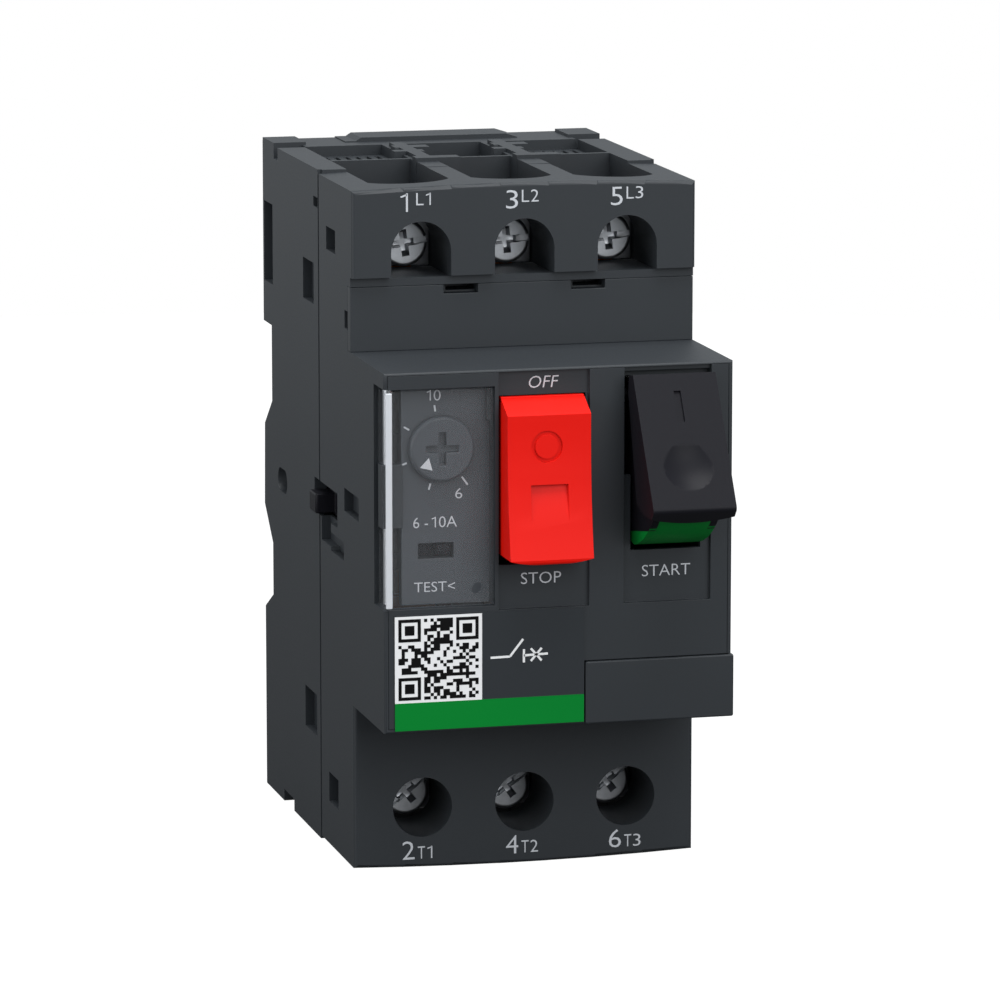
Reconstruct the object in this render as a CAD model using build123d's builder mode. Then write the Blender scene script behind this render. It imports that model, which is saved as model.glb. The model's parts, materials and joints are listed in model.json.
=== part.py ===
"""Three-pole motor protection breaker with push-button control, for a 35 mm rail.

Frame: X to the right seen from the front, Y away from the viewer, Z up.
The origin is the centre of the rail seat, the plane at the back that rests on the rail.
Lengths are millimetres. Places in depth are Y values, so the front of the breaker is negative.
"""

import os
from math import atan2, degrees, sqrt

from build123d import *

os.makedirs("parts", exist_ok=True)

# ---- overall sizes
width = 45.0
height = 89.0
seat_height = 44.4          # rail seat centre above the bottom
bar_rise = 0.6              # rear top bar above the shell top
y_back = 5.8
y_seam = -29.6              # joint between rear base and front cover
y_terminal = -48.7          # terminal faces
y_control = -66.0           # control face
side_x = width / 2
z_bottom = -seat_height
z_top = height - seat_height
shell_top = z_top - bar_rise
crown = 0.5                 # the front cover's ends bulge by this in the middle

# ---- walls and gaps
wall = 1.6
lip = 0.5                   # rim of the cover round the fascia
panel_gap = 0.05            # between fixed panels
move_gap = 0.3              # between a moving piece and its surroundings
run_gap = 0.05              # radial clearance of a pin or shaft in its bore

# ---- poles and terminals
pole_pitch = 13.5
pole_x = [-pole_pitch, 0.0, pole_pitch]
terminal_inset_top = 8.5
terminal_inset_bottom = 8.1
upper_axis = shell_top - terminal_inset_top
lower_axis = z_bottom + terminal_inset_bottom
access_r = 3.9
chamber_half = 5.3          # half the width of a clamp chamber
chamber_depth = 4.9         # chamber floor, from the screw axis towards the middle
y_chamber_front = -37.6
y_chamber_back = -20.6
well_depth = 2.6
well_tip = 4.0              # scallop tip behind the terminal face
well_sagitta = 3.0
upper_floor = upper_axis - chamber_depth
lower_floor = lower_axis + chamber_depth

# ---- front cover's protrusion and auxiliary bay
control_bottom = -22.6
control_top = 22.9
edge_round = 0.3            # front edges of the protrusion
strip_top = 31.2
step_z = 32.4
strip_setback = 1.0
strip_thick = 1.6
bay_depth = 8.0

# ---- rail channel, for a rail of 35 mm
channel_bottom = -17.2
channel_top = 19.6
flange_gap = 1.4
hook_reach = 3.0
hook_thick = 2.0
hook_half = 17.0
rib_low = -10.1
rib_high = 9.3
rib_inner_x = 12.0          # the two ribs lie outside this half width

# ---- contacts and current path
copper = 1.2
bar_half = 3.4
y_tongue = -28.3
y_inner = y_back - 7.8      # inner face of the rear wall
leg_z = 27.0
contact_z = 8.0
tip_thick = 0.9
contact_gap = 2.9
cage_half = 4.7
cage_wall = 1.5
cage_height = 7.6
screw_r = 2.0
screw_head_r = 3.1
screw_head_thick = 2.4
y_screw_head = -39.3

# ---- control face: x and z of its pieces
fascia_thick = 1.6
y_fascia_back = y_control + fascia_thick
recess = 0.6
tray_x = (-side_x, -side_x + 14.4)
tray_z = (-6.9, 20.8)
y_tray_floor = y_control + 2.8
tray_floor_thick = 1.6
dial_x = -side_x + 7.9
dial_z = 12.9
dial_r = 4.15
dial_shaft_r = 1.9
cover_thick = 1.0
hinge_x = -side_x + 1.3
hinge_y = -62.6
hinge_r = 1.15
hinge_pin_r = 0.6
stop_x = (-side_x + 15.0, -side_x + 25.7)
stop_z = (-0.8, 19.2)
stop_pivot = (-62.2, 19.2)
stop_pin_r = 0.9
start_x = (-side_x + 31.2, -side_x + 41.9)
skirt_thick = 0.9           # side skirts of the start cap
start_pivot = (-62.0, 18.5)
start_pin_r = 1.0
start_arc_r = 18.9
dish_r = 8.1                # finger rest of the start cap
dish_depth = 0.7
pocket_top = 22.0
start_step = 8.8            # below this height the start opening is narrower
cavity_top = 21.3
cavity_bottom = -21.0
label_x = (-side_x + 1.3, -side_x + 25.7)
label_z = (control_bottom + edge_round, -7.6)
label_thick = 0.15
marker_x = (-side_x + 25.9, side_x + 0.3)
marker_top = -14.6

# ---- housing screws
bolt_x = side_x - 3.1
bolt_z = 22.2
bolt_r = 1.25
bolt_head_r = 2.2
boss_r = 2.3


def block(x, y, z, mode=Mode.ADD):
    """A box from its (low, high) pairs."""
    with Locations(((x[0] + x[1]) / 2, (y[0] + y[1]) / 2, (z[0] + z[1]) / 2)):
        Box(x[1] - x[0], y[1] - y[0], z[1] - z[0], mode=mode)


def rod_x(y, z, x, radius, mode=Mode.ADD):
    """A cylinder along X at (y, z)."""
    with Locations(Location(((x[0] + x[1]) / 2, y, z), (0, 90, 0))):
        Cylinder(radius, x[1] - x[0], mode=mode)


def rod_y(x, z, y, radius, mode=Mode.ADD):
    """A cylinder along Y at (x, z)."""
    with Locations(Location((x, (y[0] + y[1]) / 2, z), (90, 0, 0))):
        Cylinder(radius, y[1] - y[0], mode=mode)


def rod_z(x, y, z, radius, mode=Mode.ADD):
    """A cylinder along Z at (x, y)."""
    with Locations((x, y, (z[0] + z[1]) / 2)):
        Cylinder(radius, z[1] - z[0], mode=mode)


def around(centre, half):
    """A (low, high) pair round a centre."""
    return (centre - half, centre + half)


def crowned_outline(x, low_z, high_z):
    """A face in XZ with a bulging lower edge: low_z is its height at the corners and in the middle."""
    with BuildLine() as outline:
        arc = ThreePointArc((x[0], low_z[0]), ((x[0] + x[1]) / 2, low_z[1]), (x[1], low_z[0]))
        Polyline(arc @ 0, (x[0], high_z), (x[1], high_z), arc @ 1)
    make_face(outline.edges())


def write(piece, name):
    """Label a finished piece and write its STEP file."""
    piece.part.label = name
    export_step(piece.part, f"parts/{name}.step")


def side_slots(y_limits, depth=1.2):
    """The moulded slots of both side walls that lie between the two Y limits."""
    slots = [
        ((-26.3, -19.9), (26.1, 31.5)),
        ((-27.0, -19.9), (-31.1, -25.6)),
        ((-39.1, -33.9), (34.3, 37.3)),
        ((-39.6, -34.1), (-38.2, -34.3)),
        ((-46.2, -44.4), (25.6, 27.9)),
        ((-28.9, -26.4), (39.0, 40.3)),
    ]
    for y, z in slots:
        if y_limits[0] < y[0] and y[1] < y_limits[1]:
            for x in (-side_x, side_x):
                block(around(x, depth), y, z, Mode.SUBTRACT)


# ---------------------------------------------------------------- rear base
cavity_x = (-side_x + wall, side_x - wall)
cavity_z = (lower_floor + wall, upper_floor - wall)
shelf_y = (y_chamber_back + 0.8, -4.0)

with BuildPart() as rear_base:
    with BuildSketch(Plane.YZ.offset(-side_x)):
        with BuildLine():
            Polyline(
                (y_seam, z_bottom), (-12.5, z_bottom), (-12.5, z_bottom + wall), (-6.2, z_bottom + wall),
                (-6.2, z_bottom), (y_back, z_bottom), (y_back, channel_bottom - 2.8), (0, channel_bottom),
                (0, rib_low), (y_back - 0.6, rib_low + 4.6), (y_back - 1.0, rib_high - 3.7), (0, rib_high),
                (0, channel_top), (y_back, channel_top), (y_back, shell_top), (y_seam, shell_top),
                close=True,
            )
        make_face()
    extrude(amount=width)
    fillet(rear_base.edges().filter_by(Axis.Z).group_by(Axis.Y)[-1], 0.8)
    # the rib that enters the rail's hat is at the two sides only
    block(around(0, rib_inner_x), (0, y_back), (rib_low, rib_high), Mode.SUBTRACT)
    # hollow for the current path, open at the seam
    block(cavity_x, (y_seam, y_inner), cavity_z, Mode.SUBTRACT)
    for x in pole_x:
        for z in ((upper_floor, z_top), (z_bottom, lower_floor)):
            block(around(x, chamber_half), (y_seam, y_chamber_back), z, Mode.SUBTRACT)
        # passage of the terminal tongue from the chamber into the hollow
        for z in ((cavity_z[1], upper_floor), (lower_floor, cavity_z[0])):
            block(around(x, bar_half + 0.3), (y_seam, y_tongue + copper), z, Mode.SUBTRACT)
        # shelf behind each well: deep in the middle pole, ribbed in the outer ones
        shelf_drop = 1.4 if x else 4.2
        block(around(x, chamber_half), shelf_y, (shell_top - shelf_drop, z_top), Mode.SUBTRACT)
        if x:
            for step in range(-3, 4):
                groove_x = around(x + step * 1.4, 0.3)
                groove_z = (shell_top - shelf_drop - 0.5, z_top)
                block(groove_x, (shelf_y[0] + 1.0, shelf_y[1] - 1.0), groove_z, Mode.SUBTRACT)
    # walls between the poles, and the lugs on top of them
    lug_rise = 0.5
    lug_top_z = (shell_top - 3.0, shell_top + lug_rise)
    for x in (-pole_pitch / 2, pole_pitch / 2):
        block(around(x, 0.7), (y_seam + 3.6, y_inner), cavity_z)
        block((x - 1.5, x + 4.4), (y_chamber_back - 3.6, y_chamber_back - 1.2), lug_top_z)
        block((x - 1.5, x + 3.2), (-12.0, -9.5), lug_top_z)
        block((x - 2.6, x + 1.5), (-16.4, -14.6), lug_top_z)
        block(around(x, 0.9), (y_chamber_back - 1.2, -6.0), (shell_top - 1.0, shell_top + lug_rise))
    # rear top bar with bevelled ends, and the ears at the two corners
    with BuildSketch(Plane.XZ.offset(-y_back)):
        with BuildLine():
            Polyline(
                (-12.4, shell_top - 1), (-12.4, shell_top + 0.15), (-10.9, shell_top + 0.15),
                (-10.2, z_top), (9.8, z_top), (11.4, shell_top + 0.1), (11.4, shell_top - 1),
                close=True,
            )
        make_face()
    extrude(amount=6.3)
    for side in (-1, 1):
        ear_x = sorted((side * side_x, side * (side_x - 4.4)))
        notch_x = sorted((side * side_x, side * (side_x - 3.9)))
        block(ear_x, (-2.0, y_back - 0.8), (shell_top - 1.0, shell_top + 0.4))
        block(notch_x, (-4.5, -2.0), (shell_top - 1.7, z_top), Mode.SUBTRACT)
        block(around(side * side_x, 1.8), (-1.0, 4.4), (25.2, 36.0), Mode.SUBTRACT)
    # fixed hook over the rail's upper flange
    block(around(0, hook_half), (flange_gap, flange_gap + hook_thick), (channel_top - hook_reach, channel_top))
    # channel of the rail clip: wide inside, narrower at the back
    clip_slot_z = (z_bottom + wall, channel_bottom)
    block(around(0, 6.3), (0.4, 3.6), clip_slot_z, Mode.SUBTRACT)
    block(around(0, 4.6), (3.6, y_back), clip_slot_z, Mode.SUBTRACT)
    # moulding pockets in the back of the upper block
    with Locations((0, y_back - 1.5, (channel_top + shell_top) / 2 + 1.0)):
        with GridLocations(9.6, 0, 4, 1):
            for z in (-4.6, 4.6):
                with Locations((0, 0, z)):
                    Box(7.0, 3.0, 6.8, mode=Mode.SUBTRACT)
    # bosses, through holes and head seats of the housing screws
    for x in (-bolt_x, bolt_x):
        for z in (-bolt_z, bolt_z):
            rod_y(x, z, (y_seam, y_inner), boss_r)
            rod_y(x, z, (y_seam, y_back), bolt_r + 0.15, Mode.SUBTRACT)
            rod_y(x, z, (y_back - 2.2, y_back), bolt_head_r + 0.15, Mode.SUBTRACT)
    # oval slots near the rail
    for x in (-side_x, side_x):
        for y in (-7.7, -5.1):
            rod_x(y, -0.5, around(x, 1.2), 1.6, Mode.SUBTRACT)
        block(around(x, 1.2), (-7.7, -5.1), around(-0.5, 1.6), Mode.SUBTRACT)
    # passage of the side drive tab
    block((-side_x, -side_x + wall), (y_seam, -26.2), (-1.1, 3.4), Mode.SUBTRACT)
    side_slots((y_seam, y_back))
write(rear_base, "rear_base")

# ---------------------------------------------------------------- front cover
with BuildPart() as front_cover:
    with BuildSketch(Plane.XZ.offset(-y_seam)):
        with BuildLine():
            top_arc = ThreePointArc(
                (-side_x, shell_top - crown), (0, shell_top), (side_x, shell_top - crown))
            bottom_arc = ThreePointArc(
                (-side_x, z_bottom + crown), (0, z_bottom), (side_x, z_bottom + crown))
            Line(top_arc @ 0, bottom_arc @ 0)
            Line(top_arc @ 1, bottom_arc @ 1)
        make_face()
    extrude(amount=y_seam - y_terminal)
    fillet(front_cover.edges().group_by(Axis.Y)[0], 0.5)
    block((-side_x, side_x), (y_control, y_terminal + 1.0), (control_bottom, control_top))
    fillet(front_cover.faces().sort_by(Axis.Y)[0].edges(), edge_round)
    # opening for the fascia, and the hollow behind it
    mouth_x = (-side_x + lip, side_x - lip)
    mouth_z = (control_bottom + lip, control_top - edge_round)
    block(mouth_x, (y_control, y_fascia_back), mouth_z, Mode.SUBTRACT)
    block(cavity_x, (y_fascia_back, y_seam), (cavity_bottom, cavity_top), Mode.SUBTRACT)
    # auxiliary bay, its band and the seat of the blanking strip
    y_strip = y_terminal + strip_setback
    block((-side_x, side_x), (y_terminal, y_strip), (control_top, step_z), Mode.SUBTRACT)
    block((-side_x, side_x), (y_strip, y_strip + strip_thick), (control_top, strip_top), Mode.SUBTRACT)
    y_bay = (y_strip + strip_thick, y_strip + strip_thick + bay_depth)
    bay_top = strip_top - 1.7
    block(cavity_x, y_bay, (control_top + 0.7, bay_top), Mode.SUBTRACT)
    arch_floor = upper_axis - screw_head_r - 0.2
    for x in pole_x:
        # clamp chambers, open at the top and the bottom
        for z in ((upper_floor, z_top), (z_bottom, lower_floor)):
            block(around(x, chamber_half), (y_chamber_front, y_seam), z, Mode.SUBTRACT)
        # round screwdriver access below, arched access above
        rod_y(x, lower_axis, (y_terminal, y_chamber_front), access_r, Mode.SUBTRACT)
        with BuildSketch(Plane.XZ.offset(-y_terminal)):
            with Locations((x, upper_axis)):
                Circle(access_r)
            with Locations((x, (arch_floor + upper_axis) / 2)):
                Rectangle(2 * access_r, upper_axis - arch_floor)
            with Locations((x, arch_floor - access_r)):
                Rectangle(2 * access_r, 2 * access_r, mode=Mode.SUBTRACT)
        extrude(amount=y_terminal - y_chamber_front, mode=Mode.SUBTRACT)
        # scalloped wells where the wires enter
        well_front = y_terminal + well_tip
        for z_start in (shell_top - well_depth, z_bottom):
            with BuildSketch(Plane.XY.offset(z_start)):
                with BuildLine():
                    arc = ThreePointArc(
                        (x - chamber_half, well_front + well_sagitta), (x, well_front),
                        (x + chamber_half, well_front + well_sagitta))
                    Polyline(arc @ 0, (x - chamber_half, y_seam), (x + chamber_half, y_seam), arc @ 1)
                make_face()
            extrude(amount=well_depth, mode=Mode.SUBTRACT)
    # holes for the housing screws
    for x in (-bolt_x, bolt_x):
        for z in (-bolt_z, bolt_z):
            rod_y(x, z, (y_seam - 7.4, y_seam), bolt_r, Mode.SUBTRACT)
    # notch for the clear cover's hinge at the left edge
    notch_z = (tray_z[0] - 0.1, tray_z[1] + 0.1)
    block((-side_x, -side_x + 2.8), (y_control, hinge_y + hinge_r + 0.9), notch_z, Mode.SUBTRACT)
    # notch for the marker plate at the bottom right corner
    marker_z = (control_bottom, marker_top + 0.1)
    block((marker_x[0] - 0.1, side_x), (y_control, y_control + 1.1), marker_z, Mode.SUBTRACT)
    # slots of the side drive tab in the left wall
    block((-side_x, -side_x + wall), (-39.7, y_seam), (-1.1, 3.4), Mode.SUBTRACT)
    block(around(-side_x, 1.2), (-35.9, -30.4), (-4.2, -1.1), Mode.SUBTRACT)
    block(around(-side_x, 1.2), (-43.4, -35.9), (-4.7, -2.3), Mode.SUBTRACT)
    block(around(-side_x, 1.2), (-52.0, -43.8), (1.9, 4.9), Mode.SUBTRACT)
    side_slots((y_control, y_seam))
write(front_cover, "front_cover")

with BuildPart() as blanking_strip:
    block((-side_x, side_x), (y_strip, y_strip + strip_thick), (control_top, strip_top - panel_gap))
    for x in (-8.1, 8.6):
        block(around(x, 2.25), (y_strip, y_strip + strip_thick), (strip_top - 1.2, strip_top), Mode.SUBTRACT)
    for x in around(0, 16.0):
        block(around(x, 2.0), (y_bay[0], y_bay[0] + 3.0), (bay_top - 1.2, bay_top - 0.2))
write(blanking_strip, "blanking_strip")

# ---------------------------------------------------------------- control fascia
stop_hole_x = (stop_x[0] - move_gap, stop_x[1] + move_gap)
start_hole_x = (start_x[0] - move_gap, start_x[1] + move_gap)
body_x = (start_x[0] + 1.0, start_x[1] - 1.2)
y_tray_back = y_tray_floor + tray_floor_thick
pocket_bottom = start_pivot[1] - start_arc_r - 0.4
lug_z = around(7.0, 4.0)

with BuildPart() as control_fascia:
    fascia_x = (mouth_x[0] + panel_gap, mouth_x[1] - panel_gap)
    fascia_z = (mouth_z[0] + panel_gap, mouth_z[1] - panel_gap)
    block(fascia_x, (y_control, y_fascia_back), fascia_z)
    # dial tray behind the clear cover
    block((-side_x + 2.9, tray_x[1]), (y_fascia_back, y_tray_back), (tray_z[0], tray_z[1]))
    block((-side_x, tray_x[1] - 0.2), (y_control, y_tray_floor), tray_z, Mode.SUBTRACT)
    rod_y(dial_x, dial_z, (y_tray_floor, y_tray_back), dial_shaft_r + run_gap, Mode.SUBTRACT)
    test_slot_x = (-side_x + 5.0, -side_x + 9.6)
    test_slot_z = (-1.1, 0.9)
    block(test_slot_x, (y_tray_floor, y_tray_back), test_slot_z, Mode.SUBTRACT)
    # knuckle of the clear cover's hinge
    block((hinge_x - 1.0, -side_x + 3.0), (hinge_y - 1.0, hinge_y + 1.0), lug_z)
    rod_z(hinge_x, hinge_y, lug_z, hinge_pin_r, Mode.SUBTRACT)
    # shallow recesses round the two buttons, and their openings
    recess_y = (y_control, y_control + recess)
    block((stop_hole_x[0], stop_hole_x[1] + 0.4), recess_y, (-7.5, mouth_z[1]), Mode.SUBTRACT)
    block(start_hole_x, recess_y, (-7.4, mouth_z[1]), Mode.SUBTRACT)
    block(stop_hole_x, (y_control, y_fascia_back), (stop_z[0] - 1.1, stop_z[1] + move_gap), Mode.SUBTRACT)
    block(start_hole_x, (y_control, y_fascia_back), (start_step, pocket_top), Mode.SUBTRACT)
    lower_hole_x = (body_x[0] - move_gap, body_x[1] + move_gap)
    block(lower_hole_x, (y_control, y_fascia_back), (pocket_bottom, start_step), Mode.SUBTRACT)
    # seat of the marker plate
    marker_seat_z = (control_bottom, marker_top + 0.1)
    block((marker_x[0] - 0.1, side_x), (y_control, y_control + 1.1), marker_seat_z, Mode.SUBTRACT)
    # brackets that hold the two button pins
    bracket_z = (start_pivot[1] - 2.2, cavity_top - 0.2)
    bracket_end = cavity_x[1] - 0.2
    for x in ((stop_hole_x[0] - 1.1, stop_hole_x[0]), (stop_hole_x[1], stop_hole_x[1] + 1.2)):
        block(x, (y_fascia_back, stop_pivot[0] + 2.0), bracket_z)
        rod_x(*stop_pivot, x, stop_pin_r, Mode.SUBTRACT)
    for x in ((start_hole_x[0] - 1.2, start_hole_x[0]), (start_hole_x[1], bracket_end)):
        block(x, (y_fascia_back, start_pivot[0] + 2.0), bracket_z)
        rod_x(*start_pivot, x, start_pin_r, Mode.SUBTRACT)
write(control_fascia, "control_fascia")

with BuildPart() as marker_plate:
    block(marker_x, (y_control - 0.3, y_control + 1.1), (control_bottom, marker_top))
    fillet(marker_plate.edges().filter_by(Axis.Z).group_by(Axis.Y)[0], 0.3)
write(marker_plate, "marker_plate")

with BuildPart() as rating_label:
    block(label_x, (y_control - label_thick, y_control), label_z)
write(rating_label, "rating_label")

# ---------------------------------------------------------------- clear cover and its hinge
cover_x = (-side_x + 0.2, tray_x[1] - 0.4)
cover_z = (tray_z[0] + 0.2, tray_z[1] - 0.2)

with BuildPart() as clear_cover:
    block(cover_x, (y_control, y_control + cover_thick), cover_z)
    block((cover_x[0], cover_x[0] + 0.9), (y_control, hinge_y), cover_z)
    rod_z(hinge_x, hinge_y, cover_z, hinge_r)
    rod_z(hinge_x, hinge_y, cover_z, hinge_pin_r + run_gap, Mode.SUBTRACT)
    knuckle_gap_z = (lug_z[0] - move_gap, lug_z[1] + move_gap)
    block((cover_x[0] - 1, hinge_x + 2), (hinge_y - 1.45, hinge_y + 2), knuckle_gap_z, Mode.SUBTRACT)
    # lug for a seal
    seal_x = tray_x[1] - 2.55
    seal_z = tray_z[0] + 2.35
    block(around(seal_x, 1.35), (y_control - 0.6, y_control), around(seal_z, 1.65))
    rod_y(seal_x, seal_z, (y_control - 0.6, y_control + cover_thick), 0.8, Mode.SUBTRACT)
write(clear_cover, "clear_cover")

with BuildPart() as cover_hinge_pin:
    rod_z(hinge_x, hinge_y, cover_z, hinge_pin_r)
write(cover_hinge_pin, "cover_hinge_pin")

# ---------------------------------------------------------------- setting dial and test slider
y_dial = (y_tray_floor - 1.3, y_tray_floor - 0.1)

with BuildPart() as setting_dial:
    rod_y(dial_x, dial_z, y_dial, dial_r)
    chamfer(setting_dial.edges().group_by(Axis.Y)[0], 0.3)
    rod_y(dial_x, dial_z, (y_dial[1], y_tray_back + 2.4), dial_shaft_r)
    block(around(dial_x, 2.1), (y_dial[0], y_dial[0] + 0.9), around(dial_z, 0.45), Mode.SUBTRACT)
    block(around(dial_x, 0.45), (y_dial[0], y_dial[0] + 0.9), around(dial_z, 2.1), Mode.SUBTRACT)
write(setting_dial, "setting_dial")

with BuildPart() as dial_cam:
    with BuildSketch(Plane.XZ.offset(-(y_tray_back + 0.4))):
        with Locations((dial_x, dial_z)):
            Circle(3.0)
        with Locations((dial_x + 1.0, dial_z - 0.8)):
            Circle(3.2)
        with Locations((dial_x, dial_z)):
            Circle(dial_shaft_r, mode=Mode.SUBTRACT)
    extrude(amount=-1.6)
write(dial_cam, "dial_cam")

with BuildPart() as test_slider:
    slider_x = (test_slot_x[1] - 2.1, test_slot_x[1] - move_gap)
    block(slider_x, (y_tray_floor + 0.5, y_tray_back + 0.1), around(-0.1, 0.7))
    block((slider_x[0] - 3.0, slider_x[1] + 0.9), (y_tray_back + 0.1, y_tray_back + 1.3), around(-0.1, 1.8))
write(test_slider, "test_slider")

# ---------------------------------------------------------------- stop button
stop_ear = 2.0
stop_front_top = (y_control - 3.3, stop_z[1] - 1.7)
stop_front_bottom = (y_control - 5.0, stop_z[0] - 0.45)
stop_mark_y = y_control - 3.0

with BuildPart() as stop_button:
    with BuildSketch(Plane.YZ.offset(stop_x[0])):
        with BuildLine():
            Polyline(
                (y_control, stop_z[0]), (y_control + 4.5, stop_z[0]), (y_control + 4.5, stop_z[1] - 1.0),
                (y_control, stop_z[1]), stop_front_top,
            )
            ThreePointArc(stop_front_top, (y_control - 3.5, 9.0), stop_front_bottom)
            Line(stop_front_bottom, (y_control, stop_z[0]))
        make_face()
    extrude(amount=stop_x[1] - stop_x[0])
    front_edges = stop_button.edges().filter_by(Axis.X).group_by(Axis.Y)[0]
    fillet(front_edges, 0.6)
    # ears on the pin, and room for the torsion spring between them
    for x in ((stop_x[0], stop_x[0] + stop_ear), (stop_x[1] - stop_ear, stop_x[1])):
        rod_x(*stop_pivot, x, 1.8)
    spring_room_x = (stop_x[0] + stop_ear, stop_x[1] - stop_ear)
    spring_room_z = (stop_z[1] - 3.0, stop_z[1] + 2.0)
    block(spring_room_x, (y_fascia_back, y_fascia_back + 5.0), spring_room_z, Mode.SUBTRACT)
    rod_x(*stop_pivot, stop_x, stop_pin_r + run_gap, Mode.SUBTRACT)
    # crowned lower edge
    with BuildSketch(Plane.XZ.offset(20.0 - y_control)):
        crowned_outline(stop_x, (stop_z[0] + 0.25, stop_z[0] - 0.45), stop_z[1] + 5.0)
    extrude(amount=-40.0, mode=Mode.INTERSECT)
    # thumb dip, deepest under its upper edge, and the ring mark above it
    stop_middle = (stop_x[0] + stop_x[1]) / 2
    with BuildSketch(Plane.YZ.offset(stop_middle - 2.4)):
        with BuildLine():
            Polyline(
                (y_control - 6.0, 9.0), (y_control - 2.8, 8.7), (y_control - 4.75, 1.4),
                (y_control - 6.0, 1.4), close=True,
            )
        make_face()
    extrude(amount=4.8, mode=Mode.SUBTRACT)
    with BuildSketch(Plane.XZ.offset(-y_control + 6.0)):
        with Locations((stop_middle - 0.3, 13.5)):
            Circle(2.0)
            Circle(1.5, mode=Mode.SUBTRACT)
    extrude(amount=y_control - 6.0 - stop_mark_y, mode=Mode.SUBTRACT)
write(stop_button, "stop_button")

# ---------------------------------------------------------------- start button
cap_top = (y_control - 2.7, 22.0)
cap_tip = (y_control - 12.7, 6.3)
arc_drop = sqrt(start_arc_r**2 - (start_pivot[0] - y_control) ** 2)
body_foot = (y_control, start_pivot[1] - arc_drop)
front_y = y_control - 8.9
body_front = (front_y, start_pivot[1] - sqrt(start_arc_r**2 - (start_pivot[0] - front_y) ** 2))
arc_y = y_control - 4.4
body_mid = (arc_y, start_pivot[1] - sqrt(start_arc_r**2 - (start_pivot[0] - arc_y) ** 2))

# the whole rocker's inside, before the cap's skirts are parted from it
with BuildPart() as rocker_core:
    with BuildSketch(Plane.YZ.offset(body_x[0])):
        with BuildLine():
            foot_back = (y_control + 2.5, body_foot[1] + 0.3)
            Polyline(body_foot, foot_back, (start_pivot[0] + 1.8, 16.5), (start_pivot[0] + 1.8, 18.5))
            Polyline((start_pivot[0] + 1.8, 18.5), (y_control, 19.0), (front_y, 7.6), body_front)
            ThreePointArc(body_front, body_mid, body_foot)
        make_face()
    extrude(amount=body_x[1] - body_x[0])
    rod_x(*start_pivot, body_x, 2.1)
    rod_x(*start_pivot, body_x, start_pin_r + run_gap, Mode.SUBTRACT)

# the skirts are the core's side walls above a line that climbs towards the front
with BuildPart() as cap_skirts:
    add(rocker_core.part)
    between_skirts = (body_x[0] + skirt_thick, body_x[1] - skirt_thick)
    block(between_skirts, (y_control - 15.0, y_control + 15.0), (-5.0, 30.0), Mode.SUBTRACT)
    with BuildSketch(Plane.YZ.offset(body_x[0])):
        with BuildLine():
            Polyline(
                (y_control + 8.0, 0.4), (y_control + 8.0, -5.0), (y_control - 15.0, -5.0),
                (y_control - 15.0, 4.2), (y_control - 7.2, 3.3), (y_control - 6.7, 2.9), close=True,
            )
        make_face()
    extrude(amount=body_x[1] - body_x[0], mode=Mode.SUBTRACT)

with BuildPart() as start_button_body:
    add(rocker_core.part)
    add(cap_skirts.part, mode=Mode.SUBTRACT)
write(start_button_body, "start_button_body")

with BuildPart() as start_button_cap:
    with BuildSketch(Plane.YZ.offset(start_x[0])):
        with BuildLine():
            Polyline(
                cap_top, cap_tip, (cap_tip[0] + 1.8, cap_tip[1] - 1.8), (y_control - 4.8, 6.0),
                (y_control - 0.6, 19.4), (y_control - 0.9, 21.6), cap_top,
            )
        make_face()
    extrude(amount=start_x[1] - start_x[0])
    fillet(start_button_cap.edges().filter_by(Axis.X).group_by(Axis.Y)[0], 0.7)
    # crowned lower edge
    with BuildSketch(Plane.XZ.offset(20.0 - y_control)):
        crowned_outline(start_x, (cap_tip[1] - 1.1, cap_tip[1] - 1.8), 30.0)
    extrude(amount=-40.0, mode=Mode.INTERSECT)
    # dished finger rest and upright bar mark, square to the sloping front
    slope = degrees(atan2(cap_top[0] - cap_tip[0], cap_top[1] - cap_tip[1]))
    cap_middle = (start_x[0] + start_x[1]) / 2
    for along, depth in ((0.68, 0.0), (0.24, 1.0)):
        y_face = cap_top[0] + along * (cap_tip[0] - cap_top[0])
        z_face = cap_top[1] + along * (cap_tip[1] - cap_top[1])
        with Locations(Location((cap_middle, y_face, z_face), (-slope, 0, 0))):
            if depth:
                Box(0.9, 0.6, 4.2, mode=Mode.SUBTRACT)
            else:
                with Locations((0, -(dish_r - dish_depth), 0)):
                    Sphere(dish_r, mode=Mode.SUBTRACT)
    # the core fills the middle of the cap, and the skirts hang down its sides
    add(rocker_core.part, mode=Mode.SUBTRACT)
    add(cap_skirts.part)
write(start_button_cap, "start_button_cap")

with BuildPart() as button_pins:
    rod_x(*stop_pivot, (stop_hole_x[0] - 1.1, stop_hole_x[1] + 1.2), stop_pin_r)
    rod_x(*start_pivot, (start_hole_x[0] - 1.2, bracket_end), start_pin_r)
write(button_pins, "button_pins")

with BuildPart() as stop_spring:
    for turn in range(7):
        with Locations(Location((spring_room_x[0] + 1.0 + turn * 0.62, *stop_pivot), (0, 90, 0))):
            Torus(stop_pin_r + 0.3, 0.3)
write(stop_spring, "stop_spring")

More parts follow.
